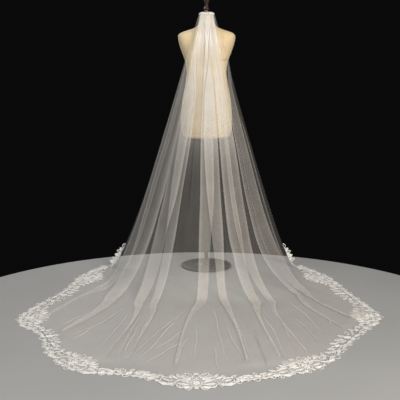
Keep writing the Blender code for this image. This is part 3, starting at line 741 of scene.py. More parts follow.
FOLD_RUNS = (0.45, 0.68, 0.81, 0.93, 1.10, 1.88)
FOLDS = (
    Fold("F1", 1, (-0.790, -0.790, -0.785, -0.770, -0.745, -0.620),
         (-0.600, -0.645, -0.640, -0.665, -0.690, -0.590)),
    Fold("F2", 1, (-0.630, -0.660, -0.625, -0.615, -0.560, -0.510),
         (-0.455, -0.475, -0.513, -0.520, -0.500, -0.485)),
    Fold("F3", -1, (-0.440, -0.430, -0.445, -0.420, -0.380, -0.340),
         (-0.260, -0.300, -0.341, -0.356, -0.340, -0.310)),
    Fold("F4", -1, (-0.400, -0.371, -0.351, -0.333, -0.300, -0.285),
         (-0.214, -0.251, -0.266, -0.284, -0.265, -0.255)),
    Fold("F5", 1, (-0.070, -0.049, -0.048, -0.047, -0.064, -0.120),
         (0.086, 0.071, 0.040, 0.020, -0.021, -0.080)),
    Fold("F6", 1, (-0.025, 0.021, 0.052, 0.078, 0.089, 0.130),
         (0.146, 0.137, 0.137, 0.130, 0.128, 0.165)),
    Fold("F7", -1, (0.180, 0.185, 0.200, 0.245, 0.240, 0.225),
         (0.288, 0.282, 0.300, 0.300, 0.270, 0.255)),
    Fold("F8", -1, (0.263, 0.259, 0.281, 0.340, 0.315, 0.300),
         (0.395, 0.376, 0.378, 0.380, 0.345, 0.330)),
    Fold("F9", 1, (0.430, 0.430, 0.459, 0.530, 0.500, 0.480),
         (0.500, 0.490, 0.530, 0.580, 0.535, 0.510)),
    Fold("F10", 1, (0.470, 0.465, 0.510, 0.570, 0.560, 0.545),
         (0.610, 0.620, 0.645, 0.655, 0.600, 0.575)),
)

LOFTS = (
    Loft(0.00, 0.0040),
    Loft(0.30, 0.0046),
    Loft(0.60, 0.0056),
    Loft(0.81, 0.0052),
    Loft(0.93, 0.0040),
    Loft(1.10, 0.0031),
    Loft(2.00, 0.0028),
)

RIDGES = (
    Ridge("R1", -0.155, -0.160, -0.192, 0.30, 0.74, 0.0080),
    Ridge("R2", 0.735, 0.690, 0.690, 0.36, 0.98, 0.0090),
)

CREASES = (
    Crease(-0.606, -0.960, -0.760, -1.217, 0.000, 0.0040),
    Crease(-0.424, -0.801, -0.677, -1.362, 0.034, 0.0045),
    Crease(-0.553, -1.171, -0.654, -1.418, 0.000, 0.0035),
    Crease(-0.394, -0.838, -0.510, -1.549, 0.003, 0.0045),
    Crease(-0.346, -1.125, -0.393, -1.671, 0.000, 0.0035),
    Crease(-0.068, -0.801, -0.379, -1.683, -0.006, 0.0045),
    Crease(-0.131, -0.926, -0.333, -1.707, 0.014, 0.0040),
    Crease(-0.103, -1.390, -0.294, -1.707, -0.002, 0.0035),
    Crease(-0.101, -1.217, -0.255, -1.549, 0.000, 0.0030),
    Crease(-0.056, -1.125, -0.063, -1.671, 0.000, 0.0025),
    Crease(0.029, -1.458, 0.044, -1.786, -0.006, 0.0035),
    Crease(0.014, -0.745, 0.069, -1.683, 0.008, 0.0040),
    Crease(0.077, -1.093, 0.164, -1.707, -0.004, 0.0040),
    Crease(0.282, -0.873, 0.335, -1.171, 0.000, 0.0030),
    Crease(0.379, -0.873, 0.522, -1.497, 0.023, 0.0040),
    Crease(0.412, -0.649, 0.571, -1.362, 0.012, 0.0040),
    Crease(0.608, -0.960, 0.629, -1.217, 0.000, 0.0025),
    Crease(-0.335, -0.745, -0.424, -1.671, 0.007, 0.0045),
    Crease(-0.278, -0.977, -0.346, -1.431, -0.003, 0.0045),
    Crease(-0.090, -1.291, -0.156, -1.797, -0.007, 0.0045),
    Crease(0.104, -0.873, 0.187, -1.683, 0.010, 0.0045),
    Crease(0.270, -0.891, 0.346, -1.671, 0.010, 0.0045),
    Crease(0.350, -0.838, 0.403, -1.561, 0.002, 0.0045),
)


@dataclass
class Strand:
    """One lengthwise line of the tulle's grid."""

    folded: Line
    opened: float
    level: float
    end: FoldEnd
    step: Optional[Tuple["Strand", "Strand"]] = None
    ridge: Optional[Ridge] = None
    centred: bool = False
    dip: bool = False
    turning: bool = False


class Stretch(NamedTuple):
    """A plain stretch beside a ridge: its far line, where that opens, its strands and level."""

    line: Line
    opened: float
    shares: Tuple[float, ...]
    level: float


def waves(table: Sequence[Wave], across: Array, run: Array) -> Array:
    """Return the sum of a table's waves, at places -1 to 1 across the cloth and at runs."""
    return sum(wave.share * np.sin(FULL_TURN * (wave.count * across / 2.0 + wave.slant * run)
                                   + wave.phase) for wave in table)


def fold_edge(values: Sequence[float]) -> Line:
    """Return a function that reads one edge of a fold at a run."""
    return lambda run: smooth_lookup(run, FOLD_RUNS, values)


def between(first: Line, second: Line, share: float) -> Line:
    """Return a line part of the way from one lateral line to another."""
    return lambda run: first(run) * (1.0 - share) + second(run) * share


def within(line: Line, left: Line, right: Line) -> Line:
    """Return a lateral line held between two others, a little in from each.

    Args:
        line: The line.
        left: The line that it stays right of.
        right: The line that it stays left of.

    Returns:
        The line that is held.
    """
    def held(run: Array) -> Array:
        """Return the line's lateral place at a run."""
        margin = FOLD_MARGIN * (right(run) - left(run))
        return np.clip(line(run), left(run) + margin, right(run) - margin)
    return held


def constant(value: float) -> Line:
    """Return a line that is the same at every run."""
    return lambda run: np.full_like(np.asarray(run, dtype=float), value)


@dataclass
class VeilSurface:
    """The surface on which the cloth is laid out, and the path of the cloth across its folds."""

    top: float = 1.585
    wall: float = 0.0011
    lean: float = -0.010
    scallop: float = 0.042
    knee_middle: float = 0.15
    knee_side_extra: float = 0.60
    gather_depth: float = 0.0055
    gather_end: float = 0.20
    gather_pattern: Tuple[float, ...] = (0.0, 0.0, 1.0, 1.0)
    gather_sides: Point2 = (0.14, 0.42)
    fold_rise: Point2 = (0.04, 0.12)
    fold_turn: Point3 = (0.08, 0.13, 0.30)
    spread_step: float = 0.012
    turn_back: Point3 = (0.70, 1.00, 1.30)
    dip_slope: float = 0.8
    ridge_foot: float = 0.008
    ridge_side: float = 0.012
    ridge_fade: float = 0.12
    probe: float = 0.004

    def tent(self, lateral: Array, height: Array) -> Array:
        """Return points of the tent's sections.

        Args:
            lateral: Lateral places.
            height: Heights.

        Returns:
            The points.
        """
        rows = SECTIONS[::-1]
        heights = column(rows, "height")
        angle = lateral * math.pi / 2.0
        half_width = smooth_lookup(height, heights, column(rows, "half_width"))
        side = smooth_lookup(height, heights, column(rows, "side_back"))
        middle = smooth_lookup(height, heights, column(rows, "middle_back"))
        x = half_width * np.sin(angle) + self.lean * (1.0 - height / self.top)
        y = -(side + (middle - side) * np.cos(angle))
        return np.stack([x, y, height], axis=-1)

    def floor_curve(self, lateral: Array, x_name: str, y_name: str) -> Array:
        """Return a curve on the floor, such as the landing or the hem.

        Args:
            lateral: Lateral places.
            x_name: The rails' column of its x values.
            y_name: The rails' column of its y values.

        Returns:
            The curve's points.
        """
        x, y = [smooth_lookup(lateral, column(RAILS, "lateral"), column(RAILS, name))
                for name in (x_name, y_name)]
        return np.stack([x, y, np.zeros_like(x)], axis=-1)

    def hem(self, lateral: Array) -> Array:
        """Return points of the hem, which is cut in a shallow scallop between medallions.

        Args:
            lateral: Lateral places.

        Returns:
            The points.
        """
        landing = self.floor_curve(lateral, "land_x", "land_y")
        plain = self.floor_curve(lateral, "hem_x", "hem_y")
        order = np.interp(lateral, column(MEDALLIONS, "lateral"), range(len(MEDALLIONS)))
        depth = self.scallop * np.sin(math.pi * order) ** 2
        return plain + unit(landing - plain) * depth[..., None]

    def point(self, lateral: Array, run: Array) -> Array:
        """Return points of the base surface, the side of the cloth that faces the form.

        Args:
            lateral: Lateral places.
            run: Runs, of a shape that fits them.

        Returns:
            The points.
        """
        lateral, run = np.broadcast_arrays(np.asarray(lateral, float), np.asarray(run, float))
        side = np.sin(lateral * math.pi / 2.0) ** 2
        knee_height = self.knee_middle + self.knee_side_extra * side
        knee_run = 1.0 - knee_height / self.top
        landing = self.floor_curve(lateral, "land_x", "land_y")
        hem = self.hem(lateral)
        knee = self.tent(lateral, knee_height)
        foot = self.tent(lateral, np.zeros_like(lateral))
        fall = self.tent(lateral, np.clip(self.top * (1.0 - run), 0.0, self.top))
        t = np.clip((run - knee_run) / (1.0 - knee_run), 0.0, 1.0)[..., None]
        curve = (1.0 - t) ** 2 * knee + 2.0 * t * (1.0 - t) * foot + t * t * landing
        floor = mix(landing, hem, np.clip(run - 1.0, 0.0, 1.0)[..., None])
        upright = (run <= knee_run)[..., None]
        flared = (run <= 1.0)[..., None]
        return np.where(upright, fall, np.where(flared, curve, floor))

    def normal(self, lateral: Array, run: Array) -> Array:
        """Return the base surface's normals: away from the form, and up on the floor.

        Args:
            lateral: Lateral places.
            run: Runs, of a shape that fits them.

        Returns:
            The normals.
        """
        across = (self.point(np.clip(lateral + self.probe, -1, 1), run)
                  - self.point(np.clip(lateral - self.probe, -1, 1), run))
        down = (self.point(lateral, np.clip(run + self.probe, 0, 2))
                - self.point(lateral, np.clip(run - self.probe, 0, 2)))
        lying = (np.broadcast_to(run, lateral.shape) >= 1.0)[..., None]
        return np.where(lying, (0.0, 0.0, 1.0), unit(np.cross(down, across)))

    def panel(self, left: Line, right: Line, opened: Point2, shares: Sequence[float],
              level: float, end: FoldEnd) -> List[Strand]:
        """Return the strands of a plain stretch between two lateral lines."""
        return [Strand(between(left, right, share), mix(*opened, share), level, end)
                for share in shares]

    def pair(self, one: Fold, two: Fold, level: float,
             end: FoldEnd) -> Tuple[List[Strand], float, float, float]:
        """Return the strands of two neighbouring folds.

        Args:
            one: The fold on the left.
            two: The fold on the right, which overlaps it.
            level: Layers under the cloth where it comes to them.
            end: Runs at which they end.

        Returns:
            The strands, the level after them, and the lateral places to their left and right
            where they have spread out.
        """
        left_one, right_one = fold_edge(one.left), fold_edge(one.right)
        left_two, right_two = fold_edge(two.left), fold_edge(two.right)
        in_one = within(left_two, left_one, right_one)
        in_two = within(right_one, left_two, right_two)
        start, middle, finish = self.turn_back
        route = (
            (left_one, 0), (in_one, 0), (right_one, 0),
            (right_one, start), (in_one, middle), (left_one, finish),
            (left_one, 2), (in_one, 2), (in_two, 2), (right_two, 2),
            (right_two, 2 + start), (in_two, 2 + middle), (left_two, 2 + finish),
            (left_two, 4), (in_two, 4), (right_two, 4),
        )
        steps = ((2, 6), (9, 13))
        centre_one = float(between(left_one, right_one, 0.5)(end.stepped))
        centre_two = float(between(left_two, right_two, 0.5)(end.stepped))
        middle_one, middle_two = [0.5 * (below + above) for below, above in steps]
        spread = min(self.spread_step, (centre_two - centre_one) / (middle_two - middle_one))
        knots = (-1, steps[0][1], steps[1][0], len(route))
        opened = np.interp(range(-1, len(route) + 1), knots, (
            centre_one + (knots[0] - middle_one) * spread,
            centre_one + (knots[1] - middle_one) * spread,
            centre_two + (knots[2] - middle_two) * spread,
            centre_two + (knots[3] - middle_two) * spread))
        strands = [Strand(edge, opened[index + 1], level + one.lean * layer, end)
                   for index, (edge, layer) in enumerate(route)]
        for below, above in steps:
            for strand in strands[below:above + 1]:
                strand.step = (strands[below], strands[above])
            for index in (below, below + 1, above - 1, above):
                strands[index].turning = True
        return strands, level + 4 * one.lean, opened[0], opened[-1]

    def ridge(self, ridge: Ridge) -> List[Strand]:
        """Return three strands: foot, crest and foot of a thin crease.

        Args:
            ridge: The crease's row.

        Returns:
            The strands.
        """
        strands = []
        for offset in (-self.ridge_foot, 0.0, self.ridge_foot):
            def line(run: Array, offset: float = offset) -> Array:
                """Return the crease's lateral place."""
                share = np.clip((run - ridge.start) / (ridge.end - ridge.start), 0.0, 1.0)
                return mix(ridge.lateral_start, ridge.lateral_end, share) + offset
            strands.append(Strand(line, ridge.opened + offset, 0.0, INNER_END))
        strands[1].ridge = ridge
        return strands

    def ridge_panels(self, crease: Ridge, foot: float, before: Stretch, after: Stretch,
                     end: FoldEnd) -> List[Strand]:
        """Return the strands of a ridge and of the plain stretches on both sides of it.

        Args:
            crease: The ridge.
            foot: The lateral place that the stretch before it goes to.
            before: The stretch on its left.
            after: The stretch on its right.
            end: Runs at which they end.

        Returns:
            The strands.
        """
        gap = self.ridge_side
        return [*self.panel(before.line, constant(foot - gap),
                            (before.opened, crease.opened - gap), before.shares, before.level,
                            end),
                *self.ridge(crease),
                *self.panel(constant(crease.lateral_start + gap), after.line,
                            (crease.opened + gap, after.opened), after.shares, after.level,
                            end)]

    def strands(self) -> List[Strand]:
        """List every strand from the left side edge to the right one.

        Returns:
            The strands.
        """
        edge, opened, level = constant(-1.0), -1.0, 0.0
        strands: List[Strand] = []
        for pair, (shares, end) in enumerate(APPROACHES):
            one, two = FOLDS[2 * pair:2 * pair + 2]
            turns, following, first, last = self.pair(one, two, level, end)
            left = fold_edge(one.left)
            if pair == RIDGE_PAIR:
                strands += self.ridge_panels(
                    RIDGES[0], RIDGES[0].lateral_start, Stretch(edge, opened, shares, level),
                    Stretch(left, first, AFTER_FIRST_RIDGE, level), end)
            elif shares:
                strands += self.panel(edge, left, (opened, first), shares, level, end)
            else:
                strands.append(Strand(edge, first, level, end, centred=True, dip=level > 0.0))
            strands += turns
            edge, opened, level = fold_edge(two.right), last, following
        return strands + self.ridge_panels(
            RIDGES[1], RIDGES[1].lateral_end,
            Stretch(edge, opened, BEFORE_LAST_RIDGE, 0.5 * level),
            Stretch(constant(1.0), 1.0, AFTER_LAST_RIDGE, 0.0), OUTER_END)

    def laid_out(self, run: Array) -> Tuple[Array, Array]:
        """Lay the strands out.

        Args:
            run: The runs of the grid's rows.

        Returns:
            The lateral place and the height off the base surface, rows by strands.
        """
        strands = self.strands()
        even = {id(s): e for s, e in zip(strands, np.linspace(-1.0, 1.0, len(strands)))}
        spread, upright, turned_over = self.fold_turn
        stand = ease(run, spread, upright)
        turn = ease(run, upright, turned_over)
        places = []
        for strand in strands:
            top = even[id(strand)]
            bottom = strand.opened
            step_top, step_bottom = top, bottom
            if strand.step is not None:
                below, above = strand.step
                step_top = 0.5 * (even[id(below)] + even[id(above)])
                step_bottom = 0.5 * (below.opened + above.opened)
            closing = np.clip((run - strand.end.folded)
                              / (strand.end.stepped - strand.end.folded), 0.0, 1.0)
            back = 1.0 - (1.0 - closing) ** strand.end.taper
            out = ease(run, strand.end.stepped, strand.end.spread)
            place = mix(mix(top, step_top, stand), strand.folded(run), turn)
            places.append(mix(place, step_bottom, back) + (bottom - step_bottom) * out)
        for index, strand in enumerate(strands):
            if strand.centred:
                places[index] = 0.5 * (places[index - 1] + places[index + 1])
        place = np.clip(np.stack(places, axis=1), -1.0, 1.0)
        return place, self.heights(strands, run, place)

    def heights(self, strands: Sequence[Strand], run: Array, place: Array) -> Array:
        """Return the strands' heights off the base surface.

        Args:
            strands: The strands.
            run: The runs of the grid's rows.
            place: The strands' lateral places, rows by strands.

        Returns:
            The heights, rows by strands.
        """
        step = smooth_lookup(run, column(LOFTS, "run"), column(LOFTS, "step"))
        rise = ease(run, *self.fold_rise)
        gather = self.gather_depth * (1.0 - ease(run, 0.0, self.gather_end))
        height = np.zeros_like(place)
        for index, strand in enumerate(strands):
            sinking = ease(run, strand.end.spread, strand.end.sunk)
            height[:, index] = strand.level * step * rise * (1.0 - sinking)
            side = ease(1.0 - abs(2.0 * index / (len(strands) - 1) - 1.0), *self.gather_sides)
            pattern = self.gather_pattern[index % len(self.gather_pattern)]
            height[:, index] += gather * side * pattern
            if strand.ridge is not None:
                start, end = strand.ridge.start, strand.ridge.end
                shape = ease(run, start, start + self.ridge_fade)
                shape = shape * (1.0 - ease(run, end - self.ridge_fade, end))
                height[:, index] += strand.ridge.height * shape
        base = self.point(place, run[:, None])
        for index, strand in enumerate(strands):
            if strand.dip:
                gap = np.linalg.norm(base[:, index + 1] - base[:, index - 1], axis=-1)
                sag = np.maximum(height[:, index - 1] - self.dip_slope * gap, 0.0)
                height[:, index] = mix(height[:, index], sag, ease(run, *self.fold_turn[1:]))
        return height


@dataclass
class TulleDrape:
    """The sheer veil: one sheet of net, gathered, folded and spread."""

    surface: VeilSurface
    strand_parts: int = 3
    rows_top: int = 46
    rows_fall: int = 62
    rows_floor: int = 74
    top_end: float = 0.32
    ripple_depth: float = 0.0004
    ripple_fade: Point2 = (0.06, 0.62)
    ripple_sides: Point2 = (0.02, 0.20)
    flutter_depth: float = 0.0020
    flutter_start: Point2 = (0.25, 0.60)
    flutter_end: Point2 = (0.86, 1.0)
    flutter_sides: Point2 = (0.02, 0.14)
    rumple_depth: float = 0.0011
    rumple_fan: Tuple[Point3, ...] = ((61.0, 5.0, 0.0), (37.0, -9.0, 1.2), (97.0, 7.0, 0.6))
    rumple_rings: Point3 = (19.0, 6.0, 9.0)
    rumple_shares: Point2 = (0.7, 0.5)
    rumple_start: Point2 = (1.03, 1.20)
    rumple_end: Point2 = (1.93, 1.99)
    dense_top: float = 0.90
    dense_column: float = 0.42
    dense_side: float = 0.09
    dense_fall: float = 0.085
    dense_floor: float = 0.25
    # Extra cover along the folds' turned edges: painted sheen.
    edge_sheen_cover: float = 0.075
    dense_hem: float = 0.12
    column_start: Point2 = (0.05, 0.20)
    column_sides: Point2 = (0.40, 0.64)
    fall_start: Point2 = (0.16, 0.60)
    floor_start: Point2 = (0.86, 1.02)
    hem_start: Point2 = (1.84, 1.95)
    edge_start: Point2 = (0.10, 0.35)
    edge_end: Point2 = (1.20, 1.70)
    edge_sharpness: int = 4
    streaks: float = 0.24
    streak_fade: Point2 = (0.15, 0.60)
    trim: float = 0.018
    least_kept: float = 0.5
    pleat_width: float = 0.0034
    pleat_foot: float = 0.30
    # Cover on a crease's crest, above that of its feet: painted sheen.
    crest_sheen_cover: float = 0.62
    pleat_steps: int = 40
    pleat_ends: Point2 = (0.02, 0.98)
    pleat_lean: float = 0.5
    pleat_wander: float = 0.0035
    pleat_turns: float = 11.0
    flat: Point2 = (2.74, 3.05)
    flat_area: float = 6.3

    def runs(self) -> Array:
        """Space the sheet's rows down the cloth.

        Returns:
            Their runs.
        """
        return np.concatenate([
            np.linspace(0.0, self.top_end, self.rows_top, endpoint=False),
            np.linspace(self.top_end, 1.0, self.rows_fall, endpoint=False),
            np.linspace(1.0, 2.0, self.rows_floor)])

    def ripples(self, lateral: Array, run: Array) -> Array:
        """Work out the fine gathers that run down from the header.

        Args:
            lateral: Lateral places.
            run: Runs.

        Returns:
            The gathers' heights.
        """
        fade = 1.0 - ease(run, *self.ripple_fade)
        narrow = ease(1.0 - np.abs(lateral), *self.ripple_sides)
        return self.ripple_depth * fade * narrow * (1.0 + waves(GATHERS, lateral, run))

    def flutter(self, lateral: Array, run: Array) -> Array:
        """Work out the soft uneven waves of the falling cloth.

        Args:
            lateral: Lateral places.
            run: Runs.

        Returns:
            The waves' heights.
        """
        reach = ease(run, *self.flutter_start) * (1.0 - ease(run, *self.flutter_end))
        inner = ease(1.0 - np.abs(lateral), *self.flutter_sides)
        return self.flutter_depth * reach * inner * (
            1.0 + waves(FLUTTERS, lateral, run) / len(FLUTTERS))

    def pleats(self) -> Tuple[MeshParts, Array]:
        """Work out the narrow pinched creases of the train.

        Each stands up along its own bowed line, and dies away at both ends.

        Returns:
            Their mesh, and the cover at its points, raised along each crest as a painted sheen that
            shows the crease as a brighter line.
        """
        share = np.linspace(0.0, 1.0, self.pleat_steps)
        swell = np.sqrt(np.sin(math.pi * np.clip(share, *self.pleat_ends)))
        # The crest's extra cover is painted sheen, so each crease reads as a brighter line.
        profile = ((-1.0, 0.0, self.pleat_foot), (0.0, 1.0, self.crest_sheen_cover),
                   (1.0, 0.0, self.pleat_foot))
        parts = MeshParts()
        covers = []
        for index, crease in enumerate(CREASES):
            start = np.array([crease.start_x, crease.start_y])
            end = np.array([crease.end_x, crease.end_y])
            axis = unit(end - start)
            side = np.array([-axis[1], axis[0]])
            wander = self.pleat_wander * np.sin(share * self.pleat_turns + index) * swell
            bow = crease.bow * np.sin(math.pi * share) + wander
            middle = start + share[:, None] * (end - start) + bow[:, None] * side
            lean = self.pleat_width * (self.pleat_lean if index % 2 else -self.pleat_lean)
            rows = []
            for offset, lift, cover in profile:
                across = (offset * self.pleat_width + lift * lean) * swell
                plan = middle + across[:, None] * side
                height = 2.0 * self.surface.wall + lift * crease.height * swell
                rows.append(np.concatenate([plan, height[:, None]], axis=1))
                covers.append(cover * swell)
            parts.add(np.concatenate(rows), grid_faces(len(rows), self.pleat_steps))
        return parts, np.concatenate(covers)

    def rumple(self, points: Array, run: Array) -> Array:
        """Work out the small uneven wrinkles of the train, which run towards the hem.

        Args:
            points: Points of the base surface.
            run: Their runs.

        Returns:
            The wrinkles' heights.
        """
        x, y = points[..., 0], points[..., 1]
        angle = np.arctan2(x, -y)
        reach = np.hypot(x, y)
        fan = [np.sin(turns * angle + slant * reach + phase)
               for turns, slant, phase in self.rumple_fan]
        rings, sway, turns = self.rumple_rings
        across = np.sin(rings * reach + sway * np.sin(turns * angle))
        fade = ease(run, *self.rumple_start) * (1.0 - ease(run, *self.rumple_end))
        height = fan[0] * fan[1] + self.rumple_shares[0] * fan[2] + self.rumple_shares[1] * across
        return self.rumple_depth * fade * np.maximum(height, 0.0)

    def grid(self) -> Tuple[Array, Array]:
        """Work out the sheet.

        Returns:
            Points and runs, rows by columns.
        """
        run = self.runs()
        place, height = self.surface.laid_out(run)
        place = np.clip(refined(place, self.strand_parts), -1.0, 1.0)
        height = np.maximum(refined(height, self.strand_parts), 0.0)
        rows = np.broadcast_to(run[:, None], place.shape)
        even = np.broadcast_to(np.linspace(-1.0, 1.0, place.shape[1]), place.shape)
        lying = self.surface.hem(place) - self.surface.floor_curve(place, "land_x", "land_y")
        kept = 1.0 - self.trim / np.linalg.norm(lying, axis=-1)
        rows = np.where(rows > 1.0, 1.0 + (rows - 1.0) * np.maximum(kept, self.least_kept), rows)
        base = self.surface.point(place, rows)
        height = height + self.ripples(even, rows) + self.flutter(place, rows)
        height = height + self.rumple(base, rows)
        lift = (height + self.surface.wall / 2.0)[..., None]
        points = base + self.surface.normal(place, rows) * lift
        points[0, :, 2] = self.surface.top
        return points, rows

    def cover(self, even: Array, rows: Array) -> Array:
        """Return how much of its ground the net covers.

        Args:
            even: Each column's place across the flat cloth, -1 to 1.
            rows: Runs.

        Returns:
            The covered share, more where the net is gathered, and raised along the folds' turned
            edges as a painted sheen.
        """
        middle = 1.0 - ease(np.abs(even), *self.column_sides)
        top = mix(self.dense_top, self.dense_column, ease(rows, *self.column_start))
        value = mix(mix(self.dense_side, top, middle), self.dense_fall,
                    ease(rows, *self.fall_start))
        value = value + (self.dense_floor - self.dense_fall) * ease(rows, *self.floor_start)
        streaks = waves(STREAKS, even, rows) * (1.0 - ease(rows, *self.streak_fade))
        value = mix(value * (1.0 + self.streaks * streaks), self.dense_hem,
                    ease(rows, *self.hem_start))
        strands = self.surface.strands()
        places = np.linspace(-1.0, 1.0, len(strands))
        turning = np.interp(even, places, [float(strand.turning) for strand in strands])
        shown = ease(rows, *self.edge_start) * (1.0 - ease(rows, *self.edge_end))
        # The folds' turned edges get extra cover, a painted sheen that shows them as brighter
        # lines.
        return np.clip(value + self.edge_sheen_cover * turning ** self.edge_sharpness * shown, 0.0, 1.0)

    def build(self, material: Material) -> Thing:
        """Make the sheet.

        Args:
            material: The net's material.

        Returns:
            The sheet.
        """
        points, rows = self.grid()
        pleats, pleat_cover_and_sheen = self.pleats()
        parts = shell(points, [face[::-1] for face in grid_faces(*points.shape[:2])])
        parts.add(np.array(pleats.points), pleats.faces)
        sheet = parts.build("tulle_drape", material)
        even = np.broadcast_to(np.linspace(-1.0, 1.0, rows.shape[1]), rows.shape)
        # The cover holds the net's density and, on crease crests and fold edges, a painted sheen.
        cover = sheet.data.attributes.new(COVER_AND_SHEEN, "FLOAT", "POINT")
        values = np.concatenate([self.cover(even, rows).ravel(), pleat_cover_and_sheen])
        cover.data.foreach_set("value", values.astype(np.float32))
        return dress(sheet, "veil_tulle", "veil_tulle")


# ---- Lace

@dataclass
class HemLine:
    """The hem as a curve with a length, for placing lace along it."""

    surface: VeilSurface
    samples: int = 801

    def __post_init__(self) -> None:
        """Measure the hem."""
        self.lateral = np.linspace(-1.0, 1.0, self.samples)
        self.points = self.surface.hem(self.lateral)[:, :2]
        plain = self.surface.floor_curve(self.lateral, "hem_x", "hem_y")[:, :2]
        self.distance = travelled(plain)
        tangent = unit(np.gradient(plain, axis=0))
        self.inward = np.stack([-tangent[:, 1], tangent[:, 0]], axis=1)

    def at_lateral(self, lateral: float) -> float:
        """Return the distance along the hem at a lateral place."""
        return float(np.interp(lateral, self.lateral, self.distance))

    def mapper(self, middle: float, floor: float, steady: float, straight: float) -> Mapper:
        """Return a function that takes motif points to the floor beside the hem.

        Args:
            middle: The motif's middle, as a distance along the hem.
            floor: Height of the lace's underside.
            steady: How far the inward direction is that of the motif's middle.
            straight: How far the motif's edge is straight, and doesn't follow the hem.

        Returns:
            A function of points (along, inward) and heights off the cloth.
        """
        axis = [float(np.interp(middle, self.distance, self.inward[:, k])) for k in range(2)]
        spot = [float(np.interp(middle, self.distance, self.points[:, k])) for k in range(2)]
        ahead = (axis[1], -axis[0])

        def place(points: Array, lift: Array) -> Array:
            """Take motif points to the floor.

            Args:
                points: Motif points.
                lift: Their heights off the cloth.

            Returns:
                The points on the floor.
            """
            along = middle + points[..., 0]
            spots = []
            for k in range(2):
                local = np.interp(along, self.distance, self.inward[:, k])
                curved = np.interp(along, self.distance, self.points[:, k])
                level = spot[k] + ahead[k] * points[..., 0]
                spots.append(mix(curved, level, straight)
                             + mix(local, axis[k], steady) * points[..., 1])
            return np.stack([*spots, floor + lift], axis=-1)
        return place


@dataclass
class SideLine:
    """One side edge of the veil, for placing lace up it.

    The lace lies on the tulle within the edge, and stands out from it beyond the edge.
    """

    surface: VeilSurface
    side: int
    start: float
    end: float
    lean: float = 0.42
    probe: float = 0.03
    samples: int = 60

    def __post_init__(self) -> None:
        """Measure the edge."""
        self.runs = np.linspace(self.start, self.end, self.samples)
        edge = self.surface.point(np.full_like(self.runs, float(self.side)), self.runs)
        self.distance = travelled(edge)

    def mapper(self, clearance: float, inset: float) -> Mapper:
        """Return a function that takes motif points to the side edge.

        Args:
            clearance: Height of the lace's underside off the base surface.
            inset: How far in from the edge the motif's line lies.

        Returns:
            A function of points (down the edge, inward) and heights off the cloth.
        """
        def place(points: Array, lift: Array) -> Array:
            """Take motif points to the side of the veil.

            Args:
                points: Motif points.
                lift: Their heights off the cloth.

            Returns:
                The points on the side.
            """
            run = np.interp(points[..., 0], self.distance, self.runs)
            rim = np.full_like(run, float(self.side))
            here = self.surface.point(rim, run)
            inner = self.surface.point(rim * (1.0 - self.probe), run)
            normal = self.surface.normal(rim, run)
            beyond = unit(here - inner)
            free = unit(normal + beyond * self.lean)
            across = unit(beyond - free * np.sum(beyond * free, axis=-1, keepdims=True))
            height = (clearance + lift)[..., None]
            depth = points[..., 1:2] + inset
            inward = np.maximum(depth, 0.0)
            outward = np.maximum(-depth, 0.0)
            lying = here - beyond * inward + normal * height
            standing = here + free * (outward + clearance) - across * height
            return np.where(depth >= 0.0, lying, standing)
        return place


@dataclass(frozen=True)
class LaceThread:
    """Sizes of the lace's stitched bands, plates, cords and net, as half widths and heights."""

    band: Point2 = (0.0025, 0.0008)
    cord: Point2 = (0.0014, 0.0008)
    rib: Point2 = (0.0009, 0.0006)
    mesh: Point2 = (0.0004, 0.0003)
    plate: float = 0.0007
    dome: float = 0.0007
    base: float = 0.0002
    raised: float = 0.0009
    crown: float = 0.0018
    probe: float = 0.001
    sides: int = 6


@dataclass(frozen=True)
class LaceShape:
    """Shapes of the lace's petals, flowers and loops, mostly as shares of their size."""

    slim: float = 0.80
    fullness: float = 1.15
    roundness: float = 0.72
    least_half: float = 0.0004
    shoulder: float = 0.55
    shoulder_dome: float = 0.8
    flower_petal: float = 1.9
    flower_root: float = 0.30
    flower_reach: float = 0.70
    flower_eye: float = 0.22
    eye_points: int = 10
    ring_points: int = 24
    net_tilts: Point2 = (35.0, -35.0)
    net_points: int = 61
    loop_half: float = 0.62
    loop_turn: Tuple[float, float, int] = (-25.0, 205.0, 9)
    loop_leaf: Point3 = (0.10, 0.80, 0.44)
    unevenness: float = 0.42
    uneven_turns: Point2 = (2.4, 31.0)
    largest: float = 1.15


class Petal(NamedTuple):
    """One petal or leaf: its root, heading in degrees, size, turn by its tip, and style."""

    x: float
    y: float
    angle: float
    length: float
    width: float
    bend: float
    style: PetalStyle


OPEN = PetalStyle.OPEN
SOLID = PetalStyle.SOLID

MEDALLION_MIDDLE = (
    Petal(0.0, 0.092, 90.0, 0.060, 0.040, 0.0, OPEN),
    Petal(0.0, 0.016, -90.0, 0.022, 0.024, 0.0, SOLID),
)
MEDALLION_PETALS = (
    Petal(0.013, 0.130, 116.0, 0.030, 0.018, 16.0, SOLID),
    Petal(0.017, 0.098, 58.0, 0.062, 0.040, -16.0, OPEN),
    Petal(0.024, 0.082, 22.0, 0.046, 0.034, 10.0, OPEN),
    Petal(0.028, 0.056, 22.0, 0.048, 0.024, 12.0, OPEN),
    Petal(0.028, 0.036, -8.0, 0.050, 0.022, 14.0, OPEN),
    Petal(0.022, 0.018, -32.0, 0.034, 0.016, 26.0, SOLID),
    Petal(0.070, 0.094, 104.0, 0.034, 0.022, -14.0, OPEN),
    Petal(0.078, 0.090, 66.0, 0.038, 0.022, -14.0, OPEN),
    Petal(0.084, 0.078, 30.0, 0.036, 0.020, -14.0, SOLID),
    Petal(0.100, 0.020, -32.0, 0.036, 0.020, 20.0, OPEN),
    Petal(0.128, 0.016, -20.0, 0.036, 0.020, 20.0, SOLID),
    Petal(0.154, 0.030, -6.0, 0.030, 0.020, 16.0, OPEN),
    Petal(0.150, 0.068, 46.0, 0.034, 0.024, -18.0, OPEN),
    Petal(0.122, 0.074, 92.0, 0.034, 0.024, 18.0, OPEN),
    Petal(0.118, 0.046, 12.0, 0.034, 0.022, 0.0, OPEN),
)
